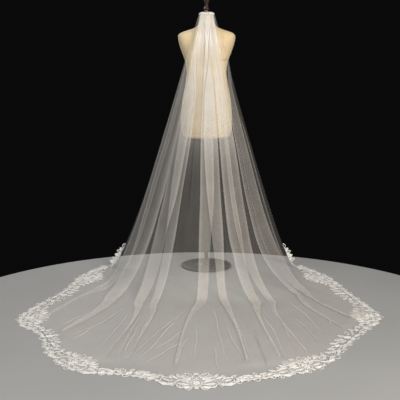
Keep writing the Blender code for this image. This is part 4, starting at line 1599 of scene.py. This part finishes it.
MEDALLION_SCROLLS = (
    ((0.016, 0.006), (0.040, 0.000), (0.068, 0.004), (0.088, 0.022), (0.092, 0.048),
     (0.078, 0.070), (0.056, 0.074), (0.034, 0.078)),
    ((0.092, 0.042), (0.104, 0.026), (0.128, 0.018), (0.152, 0.026), (0.162, 0.048),
     (0.150, 0.070), (0.128, 0.074), (0.113, 0.062), (0.114, 0.048)),
    ((0.026, 0.094), (0.046, 0.090), (0.060, 0.096), (0.062, 0.110)),
    ((0.118, 0.004), (0.140, 0.002), (0.160, 0.010), (0.168, 0.024)),
)
LINK_MIDDLE = (
    Petal(0.0, 0.044, 90.0, 0.046, 0.034, 0.0, OPEN),
    Petal(0.0, 0.014, -90.0, 0.018, 0.020, 0.0, SOLID),
)
LINK_PETALS = (
    Petal(0.019, 0.040, 48.0, 0.044, 0.028, -18.0, OPEN),
    Petal(0.022, 0.026, 8.0, 0.034, 0.020, 14.0, OPEN),
    Petal(0.018, 0.010, -22.0, 0.034, 0.018, 20.0, SOLID),
    Petal(0.054, 0.046, 66.0, 0.034, 0.022, -26.0, OPEN),
    Petal(0.058, 0.032, 22.0, 0.034, 0.020, -20.0, SOLID),
    Petal(0.050, 0.004, -10.0, 0.036, 0.018, 18.0, OPEN),
    Petal(0.088, 0.032, 66.0, 0.036, 0.026, -24.0, OPEN),
    Petal(0.096, 0.026, 10.0, 0.036, 0.022, 20.0, OPEN),
    Petal(0.088, 0.010, -14.0, 0.034, 0.018, 20.0, SOLID),
    Petal(0.114, 0.032, 74.0, 0.030, 0.022, -20.0, OPEN),
)
LINK_SCROLLS = (
    ((0.003, 0.010), (0.022, 0.002), (0.044, 0.004), (0.062, 0.018), (0.069, 0.038),
     (0.058, 0.054), (0.044, 0.050), (0.042, 0.038)),
    ((0.060, 0.018), (0.082, 0.016), (0.104, 0.020), (0.120, 0.014), (0.132, 0.004)),
    ((0.070, 0.044), (0.082, 0.056), (0.098, 0.058), (0.108, 0.046)),
)
TAIL_CURL = ((0.056, -0.010), (0.036, -0.003), (0.016, -0.004), (0.005, -0.016),
             (0.010, -0.030), (0.025, -0.034), (0.033, -0.024), (0.026, -0.016))
TAIL_TOP = (
    Petal(0.040, -0.006, 196.0, 0.034, 0.015, -34.0, SOLID),
    Petal(0.046, -0.010, -96.0, 0.036, 0.018, 20.0, OPEN),
    Petal(0.052, -0.008, 138.0, 0.026, 0.013, -24.0, SOLID),
)
TAIL_LEAVES = (
    Petal(0.0, -0.012, -62.0, 0.044, 0.028, -22.0, OPEN),
    Petal(0.010, -0.010, 66.0, 0.040, 0.022, -24.0, SOLID),
    Petal(0.006, -0.012, -118.0, 0.030, 0.018, 20.0, SOLID),
)


def oval(half: Point2, count: int) -> Array:
    """Return points round an oval about the origin."""
    angles = around(count)
    return np.stack([half[0] * np.cos(angles), half[1] * np.sin(angles)], axis=1)


@dataclass
class LacePattern:
    """Draws one motif's petals, scrolls, cords and net onto the cloth."""

    place: Mapper
    thread: LaceThread = LaceThread()
    shape: LaceShape = LaceShape()
    parts: MeshParts = field(default_factory=MeshParts)

    def lifted(self, points: Array, lift: float) -> Array:
        """Return motif points on the cloth at one height."""
        points = np.asarray(points, dtype=float)
        return self.place(points, np.full(points.shape[:-1], lift))

    def cord(self, points: Array, reach: Point2, closed: bool = False,
             base: Optional[float] = None) -> None:
        """Lay a cord or a flat band along motif points.

        Args:
            points: Motif points.
            reach: Half its width and half its height.
            closed: Whether it closes on itself.
            base: Height of its middle.
        """
        level = self.thread.raised if base is None else base
        path = self.lifted(points, level)
        lifts = unit(self.lifted(points, level + self.thread.probe) - path)
        self.parts.add(*tube_shell(path, lifts, reach, self.thread.sides, closed))

    def plate(self, rim: Array, middle: Array) -> None:
        """Lay a slightly domed plate of close stitches.

        Args:
            rim: Motif points round it.
            middle: The motif point under its crown.
        """
        count = len(rim)
        base, dome = self.thread.base, self.thread.dome
        top = base + self.thread.plate
        low, high = self.lifted(rim, base), self.lifted(rim, top)
        shoulder = self.lifted(mix(middle, rim, self.shape.shoulder),
                               top + dome * self.shape.shoulder_dome)
        crown = self.lifted(np.array([middle]), top + dome)
        faces = grid_faces(3, count, closed=True)
        faces += [(2 * count + k, 2 * count + (k + 1) % count, 3 * count) for k in range(count)]
        faces.append(tuple(reversed(range(count))))
        self.parts.add(np.concatenate([low, high, shoulder, crown]), faces)

    def petal(self, petal: Petal, steps: int = 8) -> None:
        """Draw a petal: a stitched band round an open middle, or close stitches all over.

        Args:
            petal: Its row.
            steps: Points along each side.
        """
        spine = [np.array([petal.x, petal.y])]
        headings = []
        for k in range(steps):
            headings.append(petal.angle + petal.bend * k / (steps - 1))
            spine.append(spine[-1] + direction(headings[-1]) * petal.length / steps)
        spine = np.array(spine)
        solid = petal.style is PetalStyle.SOLID
        edge = self.thread.cord[0] if solid else self.thread.band[0]
        shares = np.arange(1, steps) / steps
        swell = np.sin(math.pi * shares ** self.shape.fullness) ** self.shape.roundness
        half = np.maximum(0.5 * petal.width * self.shape.slim * swell - edge,
                          self.shape.least_half)
        sides = np.array([direction(headings[k] + 90.0) for k in range(1, steps)])
        left = spine[1:-1] + sides * half[:, None]
        right = spine[1:-1] - sides * half[:, None]
        rim = np.concatenate([spine[:1], right, spine[-1:], left[::-1]])
        if solid:
            self.plate(rim, spine[steps // 2])
            self.cord(rim, self.thread.cord, True)
            self.cord(spine[1:-1], self.thread.rib, False, self.thread.crown)
        else:
            self.cord(rim, self.thread.band, True)
            self.cord(spine[1:-2], self.thread.cord)

    def scroll(self, points: Array, fine: int = 4) -> None:
        """Draw a stitched scroll with a fine cord along its crown.

        Args:
            points: Motif points that it runs through.
            fine: Steps between two of them.
        """
        path = refined(np.asarray(points, dtype=float).T, fine).T
        self.cord(path, self.thread.band)
        self.cord(path, self.thread.rib, False, self.thread.crown)

    def ring(self, centre: Array, half: Point2, reach: Point2, count: int) -> Array:
        """Draw an oval ring.

        Args:
            centre: Its middle.
            half: Its reach along the hem and away from it.
            reach: Half the band's width and height.
            count: Points round it.

        Returns:
            Its points.
        """
        rim = np.asarray(centre) + oval(half, count)
        self.cord(rim, reach, True)
        return rim

    def flower(self, centre: Point2, half: Point2, petals: int) -> None:
        """Draw a small oval flower of solid petals round an eye.

        Args:
            centre: Its middle.
            half: Its reach along the hem and away from it.
            petals: How many petals.
        """
        shape = self.shape
        width = shape.flower_petal * min(half) * math.sin(math.pi / petals)
        for k in range(petals):
            reach = direction(90.0 + 360.0 * k / petals) * np.array(half)
            root = np.array(centre) + reach * shape.flower_root
            heading = math.degrees(math.atan2(reach[1], reach[0]))
            length = float(np.linalg.norm(reach)) * shape.flower_reach
            self.petal(Petal(root[0], root[1], heading, length, width, 0.0, SOLID), steps=5)
        eye = (shape.flower_eye * half[0], shape.flower_eye * half[1])
        self.plate(self.ring(centre, eye, self.thread.rib, shape.eye_points), np.array(centre))

    def net(self, rim: Array, spacing: float) -> None:
        """Fill a closed outline with a net of fine threads.

        Args:
            rim: Motif points round it, star-shaped about their mean.
            spacing: Distance between threads.
        """
        middle = rim.mean(axis=0)
        offsets = rim - middle
        angles = np.arctan2(offsets[:, 1], offsets[:, 0])
        order = np.argsort(angles)
        reaches = np.linalg.norm(offsets, axis=1)[order]
        span = float(reaches.max())
        steps = np.linspace(-span, span, self.shape.net_points)
        count = int(span / spacing)
        for tilt in self.shape.net_tilts:
            axis = direction(tilt)
            side = direction(tilt + 90.0)
            for k in range(-count, count + 1):
                line = side * k * spacing + steps[:, None] * axis
                turn = np.arctan2(line[:, 1], line[:, 0])
                limit = np.interp(turn, angles[order], reaches, period=FULL_TURN)
                kept = line[np.linalg.norm(line, axis=1) < limit]
                if len(kept) > 2:
                    ends = middle + np.array([kept[0], 0.5 * (kept[0] + kept[-1]), kept[-1]])
                    self.cord(ends, self.thread.mesh, False, self.thread.plate)

    def lobes(self, reach: float, base: Line, spacing: float, size: float) -> None:
        """Draw the loops of the scalloped outer edge.

        Args:
            reach: Half the length of the edge.
            base: How far in the edge lies along it.
            spacing: Distance between loops.
            size: A loop's reach.
        """
        shape = self.shape
        count = max(2, int(round(2.0 * reach / spacing)))
        turn = np.radians(np.linspace(*shape.loop_turn))
        root, length, width = shape.loop_leaf
        for index, x in enumerate(np.linspace(-reach, reach, count)):
            uneven = math.sin(shape.uneven_turns[0] * index + shape.uneven_turns[1] * reach)
            grown = size * (1.0 + shape.unevenness * uneven)
            y = float(base(np.array(x)))
            self.cord(np.stack([x + shape.loop_half * grown * np.cos(turn),
                                y - grown * np.sin(turn)], axis=1), self.thread.band)
            if index % 2:
                self.petal(Petal(x, y + root * grown, -90.0, length * grown, width * grown, 0.0,
                                 SOLID), steps=5)

    def motif(self, middle: Sequence[Petal], sides: Sequence[Petal],
              scrolls: Sequence[Sequence[Point2]], scale: Point2) -> None:
        """Draw a motif that is the same on both sides.

        Args:
            middle: Petals drawn once.
            sides: Petals of the right side.
            scrolls: Scrolls of the right side.
            scale: Stretch along the hem and away from it.
        """
        size = min(self.shape.largest, max(scale))
        for row in middle:
            self.petal(row._replace(x=row.x * scale[0], y=row.y * scale[1],
                                    length=row.length * scale[1], width=row.width * scale[1]))
        for side in (1.0, -1.0):
            for row in sides:
                angle = row.angle if side > 0.0 else 180.0 - row.angle
                self.petal(row._replace(x=row.x * scale[0] * side, y=row.y * scale[1],
                                        angle=angle, length=row.length * size,
                                        width=row.width * size, bend=row.bend * side))
            for points in scrolls:
                self.scroll(np.array(points) * np.array([scale[0] * side, scale[1]]))


@dataclass
class LaceBorder:
    """The lace border: medallions, the links between them, and the tails on the side edges."""

    surface: VeilSurface
    underside: float = 0.0014
    medallion_reach: float = 0.176
    rosette: Point2 = (0.024, 0.035)
    rosette_middle: float = 0.053
    rosette_flower: float = 0.74
    flower_petals: int = 6
    net_half: Point2 = (0.150, 0.056)
    net_middle: float = 0.066
    net_spacing: float = 0.0085
    link_reach: float = 0.132
    link_gap: float = 0.006
    link_depths: Tuple[float, ...] = (0.95, 0.95, 0.78, 0.78, 0.95, 0.95)
    link_flower: float = 0.034
    link_flower_half: Point2 = (0.020, 0.021)
    end_start: float = 0.004
    end_depth: float = 0.70
    lobe: float = 0.021
    lobe_spacing: float = 0.033
    lobe_base: Point3 = (0.010, 0.3, 1.5)
    link_lobe: float = 0.86
    link_lobe_base: float = 0.004
    steady: float = 0.70
    straight: float = 0.30
    tail_runs: Point2 = (0.790, 1.000)
    tail_inset: float = 0.022
    stem_start: float = 0.050
    stem_points: int = 16
    stem_middle: float = -0.012
    stem_sway: float = 0.007
    stem_turns: float = 58.0
    leaf_start: float = 0.058
    leaf_room: float = 0.066
    leaf_spacing: float = 0.030
    leaf_steps: Tuple[int, ...] = (8, 6, 6)
    bud_start: Point2 = (0.078, -0.026)
    bud_half: Point2 = (0.010, 0.010)

    def medallion(self, pattern: LacePattern, scale: Point2) -> None:
        """Draw a medallion: crown, rosette, wings, side ferns and scrolled arms.

        Args:
            pattern: The pattern to draw on.
            scale: Stretch along the hem and away from it.
        """
        pattern.motif(MEDALLION_MIDDLE, MEDALLION_PETALS, MEDALLION_SCROLLS, scale)
        centre = (0.0, self.rosette_middle * scale[1])
        half = (self.rosette[0] * scale[0], self.rosette[1] * scale[1])
        pattern.ring(centre, half, pattern.thread.band, pattern.shape.ring_points)
        pattern.flower(centre, (half[0] * self.rosette_flower, half[1] * self.rosette_flower),
                       self.flower_petals)
        ground = oval(self.net_half, pattern.shape.ring_points) + np.array([0.0, self.net_middle])
        pattern.net(ground * np.array(scale), self.net_spacing)
        low, bend, power = self.lobe_base
        pattern.lobes(self.medallion_reach * scale[0], lambda x: low + bend * np.abs(x) ** power,
                      self.lobe_spacing, self.lobe)

    def link(self, pattern: LacePattern, stretch: float, depth: float) -> None:
        """Draw a link: a low spray of leaves and scrolls between two medallions.

        Args:
            pattern: The pattern to draw on.
            stretch: Stretch along the hem.
            depth: Stretch away from it.
        """
        pattern.motif(LINK_MIDDLE, LINK_PETALS, LINK_SCROLLS, (stretch, depth))
        pattern.flower((0.0, self.link_flower * depth),
                       (self.link_flower_half[0] * depth, self.link_flower_half[1] * depth),
                       self.flower_petals)
        pattern.lobes(self.link_reach * stretch, constant(self.link_lobe_base),
                      self.lobe_spacing, self.link_lobe * self.lobe)

    def tail(self, pattern: LacePattern, length: float) -> None:
        """Draw a tail: a stem with leaves that climbs the edge and curls over at its top.

        Args:
            pattern: The pattern to draw on.
            length: Its length down the edge.
        """
        pattern.scroll(TAIL_CURL)
        along = np.linspace(self.stem_start, length, self.stem_points)
        sway = self.stem_middle + self.stem_sway * np.sin(along * self.stem_turns)
        pattern.scroll(np.stack([along, sway], axis=1), fine=2)
        for row in TAIL_TOP:
            pattern.petal(row)
        count = int((length - self.leaf_room) / self.leaf_spacing)
        for k in range(count):
            x = self.leaf_start + self.leaf_spacing * k
            for row, steps in zip(TAIL_LEAVES, self.leaf_steps):
                style = SOLID if k % 2 else row.style
                pattern.petal(row._replace(x=x + row.x, style=style), steps)
        for k in range(count // 2):
            x, y = self.bud_start
            pattern.flower((x + 2.0 * self.leaf_spacing * k, y), self.bud_half, petals=5)

    def finish(self, pattern: LacePattern, name: str, material: Material) -> Thing:
        """Make a motif's piece, which stands for the CAD node of its name."""
        return dress(pattern.parts.build("corded_" + name, material), "veil_lace", "lace_" + name)

    def build(self, material: Material) -> List[Thing]:
        """Make every motif of the border.

        Args:
            material: The lace's material.

        Returns:
            The pieces.
        """
        hem = HemLine(self.surface)
        made = []
        places = [hem.at_lateral(row.lateral) for row in MEDALLIONS]
        for index, (row, place) in enumerate(zip(MEDALLIONS, places)):
            pattern = LacePattern(hem.mapper(place, self.underside, self.steady, self.straight))
            self.medallion(pattern, (row.scale, row.depth))
            made.append(self.finish(pattern, "medallion_%d" % (index + 1), material))
        reaches = [self.medallion_reach * row.scale for row in MEDALLIONS]
        starts = [place - reach for place, reach in zip(places, reaches)]
        starts.append(hem.at_lateral(1.0) - self.end_start)
        ends = [self.end_start] + [place + reach for place, reach in zip(places, reaches)]
        depths = (self.end_depth, *self.link_depths, self.end_depth)
        names = ["end_left"] + ["link_%d" % k for k in range(1, len(MEDALLIONS))] + ["end_right"]
        for name, start, end, depth in zip(names, ends, starts, depths):
            pattern = LacePattern(hem.mapper(0.5 * (start + end), self.underside, self.steady, 0.0))
            self.link(pattern, (end - start - self.link_gap) / 2.0 / self.link_reach, depth)
            made.append(self.finish(pattern, name, material))
        for side, name in ((-1, "tail_left"), (1, "tail_right")):
            line = SideLine(self.surface, side, *self.tail_runs)
            pattern = LacePattern(line.mapper(self.underside, self.tail_inset))
            self.tail(pattern, float(line.distance[-1]))
            made.append(self.finish(pattern, name, material))
        return made


# ---- Form, header and stand

class FormRing(NamedTuple):
    """Half width and depths of the torso at a height."""

    height: float
    half_width: float
    front: float
    back: float


FORM_RINGS = (
    FormRing(0.832, 0.118, 0.070, 0.080),
    FormRing(0.838, 0.136, 0.084, 0.094),
    FormRing(0.860, 0.149, 0.096, 0.107),
    FormRing(0.960, 0.158, 0.105, 0.115),
    FormRing(1.085, 0.147, 0.102, 0.103),
    FormRing(1.170, 0.130, 0.096, 0.089),
    FormRing(1.250, 0.122, 0.094, 0.083),
    FormRing(1.310, 0.133, 0.110, 0.090),
    FormRing(1.360, 0.152, 0.124, 0.098),
    FormRing(1.410, 0.168, 0.112, 0.100),
    FormRing(1.445, 0.175, 0.090, 0.090),
    FormRing(1.466, 0.172, 0.072, 0.076),
    FormRing(1.480, 0.152, 0.062, 0.066),
    FormRing(1.493, 0.112, 0.055, 0.058),
    FormRing(1.507, 0.072, 0.050, 0.052),
    FormRing(1.525, 0.053, 0.046, 0.047),
    FormRing(1.555, 0.043, 0.042, 0.042),
    FormRing(1.586, 0.040, 0.040, 0.040),
    FormRing(1.592, 0.036, 0.036, 0.036),
)


@dataclass
class DressForm:
    """The padded torso with its seams, and the marker tape across its back."""

    fullness: float = 0.88
    shoulder: Point2 = (1.47, 1.52)
    fill: float = 0.95
    levels: int = 110
    segments: int = 120
    level_shares: Tuple[float, ...] = (0.0, 0.10, 0.55, 1.0)
    level_heights: Tuple[float, ...] = (0.832, 0.866, 1.400, 1.592)
    seam_angles: Tuple[float, ...] = (0.0, 62.0, 90.0, 118.0, 180.0, 240.0, 270.0, 300.0)
    seam_ends: Point2 = (0.842, 1.575)
    seam_steps: int = 90
    seam_radius: float = 0.0007
    seam_sides: int = 5
    swing: Point3 = (4.0, 0.84, 4.2)
    piping_heights: Point2 = (0.846, 1.531)
    piping_radius: float = 0.0009
    sunk: float = 0.0001
    probe: float = 0.01
    tape_height: float = 1.3110
    tape_width: float = 0.0034
    tape_thickness: float = 0.0009
    tape_span: Point2 = (276.0, 359.0)
    tape_steps: int = 60

    def point(self, angle: Array, height: Array, out: float = 0.0) -> Array:
        """Return points of the torso's skin.

        Args:
            angle: Angles about the form's axis, 0 at +X.
            height: Heights.
            out: Distance outside the skin.

        Returns:
            The points.
        """
        heights = column(FORM_RINGS, "height")
        half_width, front, back = [smooth_lookup(height, heights, column(FORM_RINGS, name))
                                   for name in ("half_width", "front", "back")]
        power = self.fullness + (1.0 - self.fullness) * ease(height, *self.shoulder)
        c, s = np.cos(angle), np.sin(angle)
        x = (half_width + out) * np.sign(c) * np.abs(c) ** power
        depth = np.where(s > 0.0, front, back) + out
        return np.stack([x, depth * np.sign(s) * np.abs(s) ** power, height], axis=-1)

    def skin(self) -> MeshParts:
        """Work out the torso's closed skin.

        Returns:
            Its mesh.
        """
        heights = np.interp(np.linspace(0.0, 1.0, self.levels), self.level_shares,
                            self.level_heights)
        angle, height = np.meshgrid(around(self.segments), heights)
        return shell(self.point(angle, height), capped_faces(self.levels, self.segments))

    def seams(self) -> MeshParts:
        """Work out the raised seams: down the middles, the princess lines and the sides.

        Returns:
            Their mesh.
        """
        heights = np.linspace(*self.seam_ends, self.seam_steps)
        reach, start, turns = self.swing
        swing = reach * np.sin((heights - start) * turns)
        lines = [(np.radians(angle + (swing if angle % 90.0 else 0.0 * heights)), heights,
                  self.seam_radius, False) for angle in self.seam_angles]
        ring = around(self.segments)
        lines += [(ring, np.full_like(ring, height), self.piping_radius, True)
                  for height in self.piping_heights]
        parts = MeshParts()
        for turn, height, radius, closed in lines:
            path = self.point(turn, height, self.sunk)
            lifts = unit(self.point(turn, height, self.probe) - path)
            parts.add(*tube_shell(path, lifts, (radius, radius), self.seam_sides, closed))
        return parts

    def tape(self) -> MeshParts:
        """Work out the narrow marker tape that shows beside the veil.

        Returns:
            Its mesh.
        """
        angles = np.radians(np.linspace(*self.tape_span, self.tape_steps))
        low, high = self.tape_height, self.tape_height + self.tape_width
        rows = [self.point(angles, np.full_like(angles, height), out) for height, out in (
            (low, self.tape_thickness), (high, self.tape_thickness), (high, self.sunk),
            (low, self.sunk))]
        return shell(np.stack(rows, axis=1), capped_faces(len(angles), len(rows)))

    def build(self, cover: Material, seam: Material, tape: Material) -> None:
        """Make the form's pieces.

        Args:
            cover: The skin's material.
            seam: The seams' material.
            tape: The tape's material.
        """
        padded = dress(self.skin().build("padded_form", cover), "form_cover", "form_torso")
        dress(self.seams().build("form_seams", seam), "form_cover")
        dress(self.tape().build("form_marker_tape", tape), "form_cover")


class HeaderRow(NamedTuple):
    """One line along the header: radius, height, and how far it flutes and swells."""

    radius: float
    height: float
    flute: float
    swell: float


HEADER_ROWS = (
    HeaderRow(0.0406, 1.5856, 0.0, 0.0),
    HeaderRow(0.0445, 1.5856, 0.6, 0.0),
    HeaderRow(0.0469, 1.5872, 1.0, 0.0),
    HeaderRow(0.0475, 1.5915, 1.0, 0.0),
    HeaderRow(0.0455, 1.5944, 1.0, 0.2),
    HeaderRow(0.0425, 1.5965, 0.9, 0.4),
    HeaderRow(0.0395, 1.5980, 0.8, 0.7),
    HeaderRow(0.0355, 1.5988, 0.7, 0.9),
    HeaderRow(0.0285, 1.5990, 0.4, 1.0),
    HeaderRow(0.0253, 1.5953, 0.2, 0.4),
    HeaderRow(0.0245, 1.5927, 0.0, 0.0),
    HeaderRow(0.0406, 1.5927, 0.0, 0.0),
)


@dataclass
class Header:
    """The gathered header that laps over the back of the neck."""

    flutes: int = 62
    flute_depth: float = 0.0015
    flute_lift: float = 0.4
    unevenness: float = 0.25
    uneven_turns: float = 7.0
    swell: float = 0.0020
    stations: int = 373
    stitch_count: int = 46
    stitch_half: float = 0.022
    stitch_radius: float = 0.0487
    stitch_height: float = 1.5894
    stitch_dip: float = 0.0006
    thread_radius: float = 0.0004
    thread_sides: int = 5

    def band(self) -> MeshParts:
        """Work out the folded band, which is fluted where it is gathered.

        Returns:
            Its mesh.
        """
        turn = np.linspace(0.0, 1.0, self.stations)
        flutes = 0.5 + 0.5 * np.sin(FULL_TURN * self.flutes * turn)
        uneven = np.sin(FULL_TURN * self.uneven_turns * turn + 1.0)
        flute = self.flute_depth * flutes * (1.0 - self.unevenness + self.unevenness * uneven)
        swell = self.swell * np.sin(FULL_TURN * turn) ** 2
        angle = math.pi * (1.0 + turn)
        rings = []
        for row in HEADER_ROWS:
            reach = row.radius + (flute - 0.5 * self.flute_depth) * row.flute
            level = row.height + (swell + self.flute_lift * flute) * row.swell
            rings.append(np.stack([reach * np.cos(angle), reach * np.sin(angle), level], axis=-1))
        return shell(np.stack(rings, axis=1), capped_faces(self.stations, len(rings)))

    def stitches(self) -> MeshParts:
        """Work out the row of gathering stitches.

        Returns:
            Their mesh.
        """
        parts = MeshParts()
        offsets = np.array([-1.0, 0.0, 1.0])
        reach = self.stitch_radius - self.stitch_dip * np.abs(offsets)
        for k in range(self.stitch_count):
            angle = (math.pi * (1.0 + (k + 0.5) / self.stitch_count)
                     + offsets * self.stitch_half)
            out = np.stack([np.cos(angle), np.sin(angle), 0.0 * angle], axis=1)
            path = out * reach[:, None] + np.array([0.0, 0.0, self.stitch_height])
            parts.add(*tube_shell(path, out, (self.thread_radius, self.thread_radius),
                                  self.thread_sides, False))
        return parts

    def build(self, material: Material, thread: Material) -> List[Thing]:
        """Make the header.

        Args:
            material: The gathered net's material.
            thread: The thread's material.

        Returns:
            The band and its stitches.
        """
        return [dress(self.band().build("gathered_header", material), "veil_header",
                      "veil_header"),
                dress(self.stitches().build("gathering_stitches", thread), "veil_header")]


class Turning(NamedTuple):
    """A turned piece: its CAD node, slot, steps between rows, and rows of radius and height."""

    name: str
    node: str
    slot: str
    fine: int
    rows: Tuple[Point2, ...]


TURNINGS = (
    Turning("base_plate", "stand_base", "stand_black", 1, (
        (0.1590, 0.0000), (0.1600, 0.0010), (0.1600, 0.0100), (0.1590, 0.0128),
        (0.1560, 0.0140), (0.0900, 0.0158), (0.0340, 0.0180), (0.0280, 0.0240),
        (0.0260, 0.0340), (0.0200, 0.0400))),
    Turning("pole", "stand_pole", "stand_black", 1, (
        (0.0125, 0.0403), (0.0125, 0.4000), (0.0125, 0.4020), (0.0125, 0.7917),
        (0.0200, 0.7957), (0.0200, 0.8197), (0.0550, 0.8237), (0.0550, 0.8317))),
    Turning("finial_collar_ring", "finial_collar", "collar_brass", 3, (
        (0.0120, 1.5923), (0.0130, 1.5950), (0.0124, 1.6000), (0.0130, 1.6050),
        (0.0130, 1.6080), (0.0110, 1.6110))),
    Turning("turned_finial", "finial", "finial_wood", 4, (
        (0.0105, 1.6113), (0.0150, 1.6163), (0.0165, 1.6233), (0.0130, 1.6313),
        (0.0100, 1.6393), (0.0120, 1.6533), (0.0185, 1.6713), (0.0215, 1.6873),
        (0.0190, 1.7033), (0.0110, 1.7153), (0.0040, 1.7203))),
)


@dataclass
class Stand:
    """Base plate, pole, collar and finial, all turned."""

    segments: int = 96
    bevel: float = 0.0004
    bevel_angle: float = 50.0

    def turned(self, piece: Turning, material: Material) -> Thing:
        """Make a turned piece with softened edges.

        Args:
            piece: Its row.
            material: Its material.

        Returns:
            The piece.
        """
        rows = np.array(piece.rows)
        if piece.fine > 1:
            rows = refined(rows.T, piece.fine).T
        angles = around(self.segments)
        rings = [np.stack([r * np.cos(angles), r * np.sin(angles), np.full_like(angles, h)],
                          axis=-1) for r, h in rows]
        made = shell(np.stack(rings), capped_faces(len(rows), self.segments)).build(
            piece.name, material)
        bevel = made.modifiers.new("soft_edges", "BEVEL")
        bevel.width = self.bevel
        bevel.segments = 2
        bevel.limit_method = "ANGLE"
        bevel.angle_limit = math.radians(self.bevel_angle)
        return dress(made, piece.slot, piece.node)

    def build(self, materials: Dict[str, Material]) -> None:
        """Make the stand's pieces, each of the material for its slot."""
        for piece in TURNINGS:
            self.turned(piece, materials[piece.slot])


# ---- Studio

class Lamp(NamedTuple):
    """A soft light: its name, place, aim, size, power in watts and colour."""

    name: str
    place: Point3
    aim: Point3
    size: float
    power: float
    colour: Colour


LAMPS = (
    Lamp("key", (2.4, -4.6, 2.3), (0.1, -0.3, 1.0), 1.8, 205.0, (1.0, 0.95, 0.88)),
    Lamp("fill", (-3.2, -4.2, 1.9), (0.0, -0.4, 0.9), 2.4, 90.0, (0.96, 0.98, 1.0)),
    Lamp("over", (0.0, -1.6, 3.8), (0.0, -0.9, 0.0), 2.4, 22.0, (1.0, 0.99, 0.97)),
    Lamp("rim", (-1.6, 2.6, 2.4), (0.0, 0.0, 0.9), 1.6, 50.0, (1.0, 1.0, 1.0)),
)


@dataclass
class Studio:
    """Camera, lights, floor and surroundings."""

    camera_place: Point3 = (-0.041, -5.0, 1.30)
    pitch: float = 9.83
    lens: float = 71.64
    sensor: float = 36.0
    far: float = 60.0
    floor_colour: Colour = (0.40, 0.40, 0.395)
    floor_change: Point2 = (0.97, 1.03)
    floor_waves: float = 1.5
    floor_roughness: float = 0.85
    floor_radius: float = 1.52
    floor_points: int = 160
    floor_middle: Point3 = (-0.02, -1.14, -0.0005)
    surroundings: Colour = (0.0032, 0.0032, 0.0035)

    def camera(self) -> None:
        """Make the camera at its angle."""
        data = bpy.data.cameras.new("view")
        data.sensor_width = self.sensor
        data.lens = self.lens
        data.clip_end = self.far
        camera = bpy.data.objects.new("view", data)
        camera.location = self.camera_place
        camera.rotation_euler = (math.radians(90.0 - self.pitch), 0.0, 0.0)
        bpy.context.scene.collection.objects.link(camera)
        bpy.context.scene.camera = camera

    def light(self, lamp: Lamp) -> None:
        """Add one soft area light.

        Args:
            lamp: Its row.
        """
        data = bpy.data.lights.new(lamp.name, "AREA")
        data.shape = "DISK"
        data.size = lamp.size
        data.energy = lamp.power
        data.color = lamp.colour
        made = bpy.data.objects.new(lamp.name, data)
        made.location = lamp.place
        heading = Vector(lamp.aim) - Vector(lamp.place)
        made.rotation_euler = heading.to_track_quat("-Z", "Y").to_euler()
        bpy.context.scene.collection.objects.link(made)

    def floor(self) -> None:
        """Make the plain pale floor."""
        sketch = NodeSketch("studio_floor")
        sketch.tint(sketch.noise(self.floor_waves, detail=3.0),
                    *[tuple(c * change for c in self.floor_colour)
                      for change in self.floor_change])
        sketch.set(Roughness=self.floor_roughness)
        plan = oval((self.floor_radius, self.floor_radius), self.floor_points)
        rim = np.concatenate([plan, np.zeros((len(plan), 1))], axis=1) + self.floor_middle
        disc = shell(rim, [tuple(range(len(rim)))])
        disc.build("floor", sketch.material, smooth=False)

    def world(self) -> None:
        """Set the plain dark surroundings with a weak even light."""
        world = bpy.data.worlds.new("studio")
        world.use_nodes = True
        background = world.node_tree.nodes["Background"]
        background.inputs["Color"].default_value = (*self.surroundings, 1.0)
        background.inputs["Strength"].default_value = 1.0
        bpy.context.scene.world = world
        bpy.context.scene.view_settings.view_transform = "Standard"

    def build(self) -> None:
        """Make the whole studio."""
        self.camera()
        self.floor()
        self.world()
        for lamp in LAMPS:
            self.light(lamp)


def main() -> None:
    """Build every piece round the frame."""
    logging.basicConfig(level=logging.INFO, format="%(name)s %(message)s")
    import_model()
    Studio().build()
    finishes = {finish.name: finish.make() for finish in FINISHES}
    surface = VeilSurface()
    DressForm().build(finishes["cream_jersey"], finishes["cream_seam"], finishes["red_tape"])
    Stand().build({"stand_black": finishes["black_coat"], "finial_wood": finishes["dark_wood"],
                   "collar_brass": finishes["polished_brass"]})
    header = Header().build(finishes["gathered_tulle"], finishes["white_thread"])
    drape = TulleDrape(surface)
    sheet = drape.build(finishes["sheer_tulle"])
    header + LaceBorder(surface).build(finishes["corded_lace"])


if __name__ == "__main__":
    main()
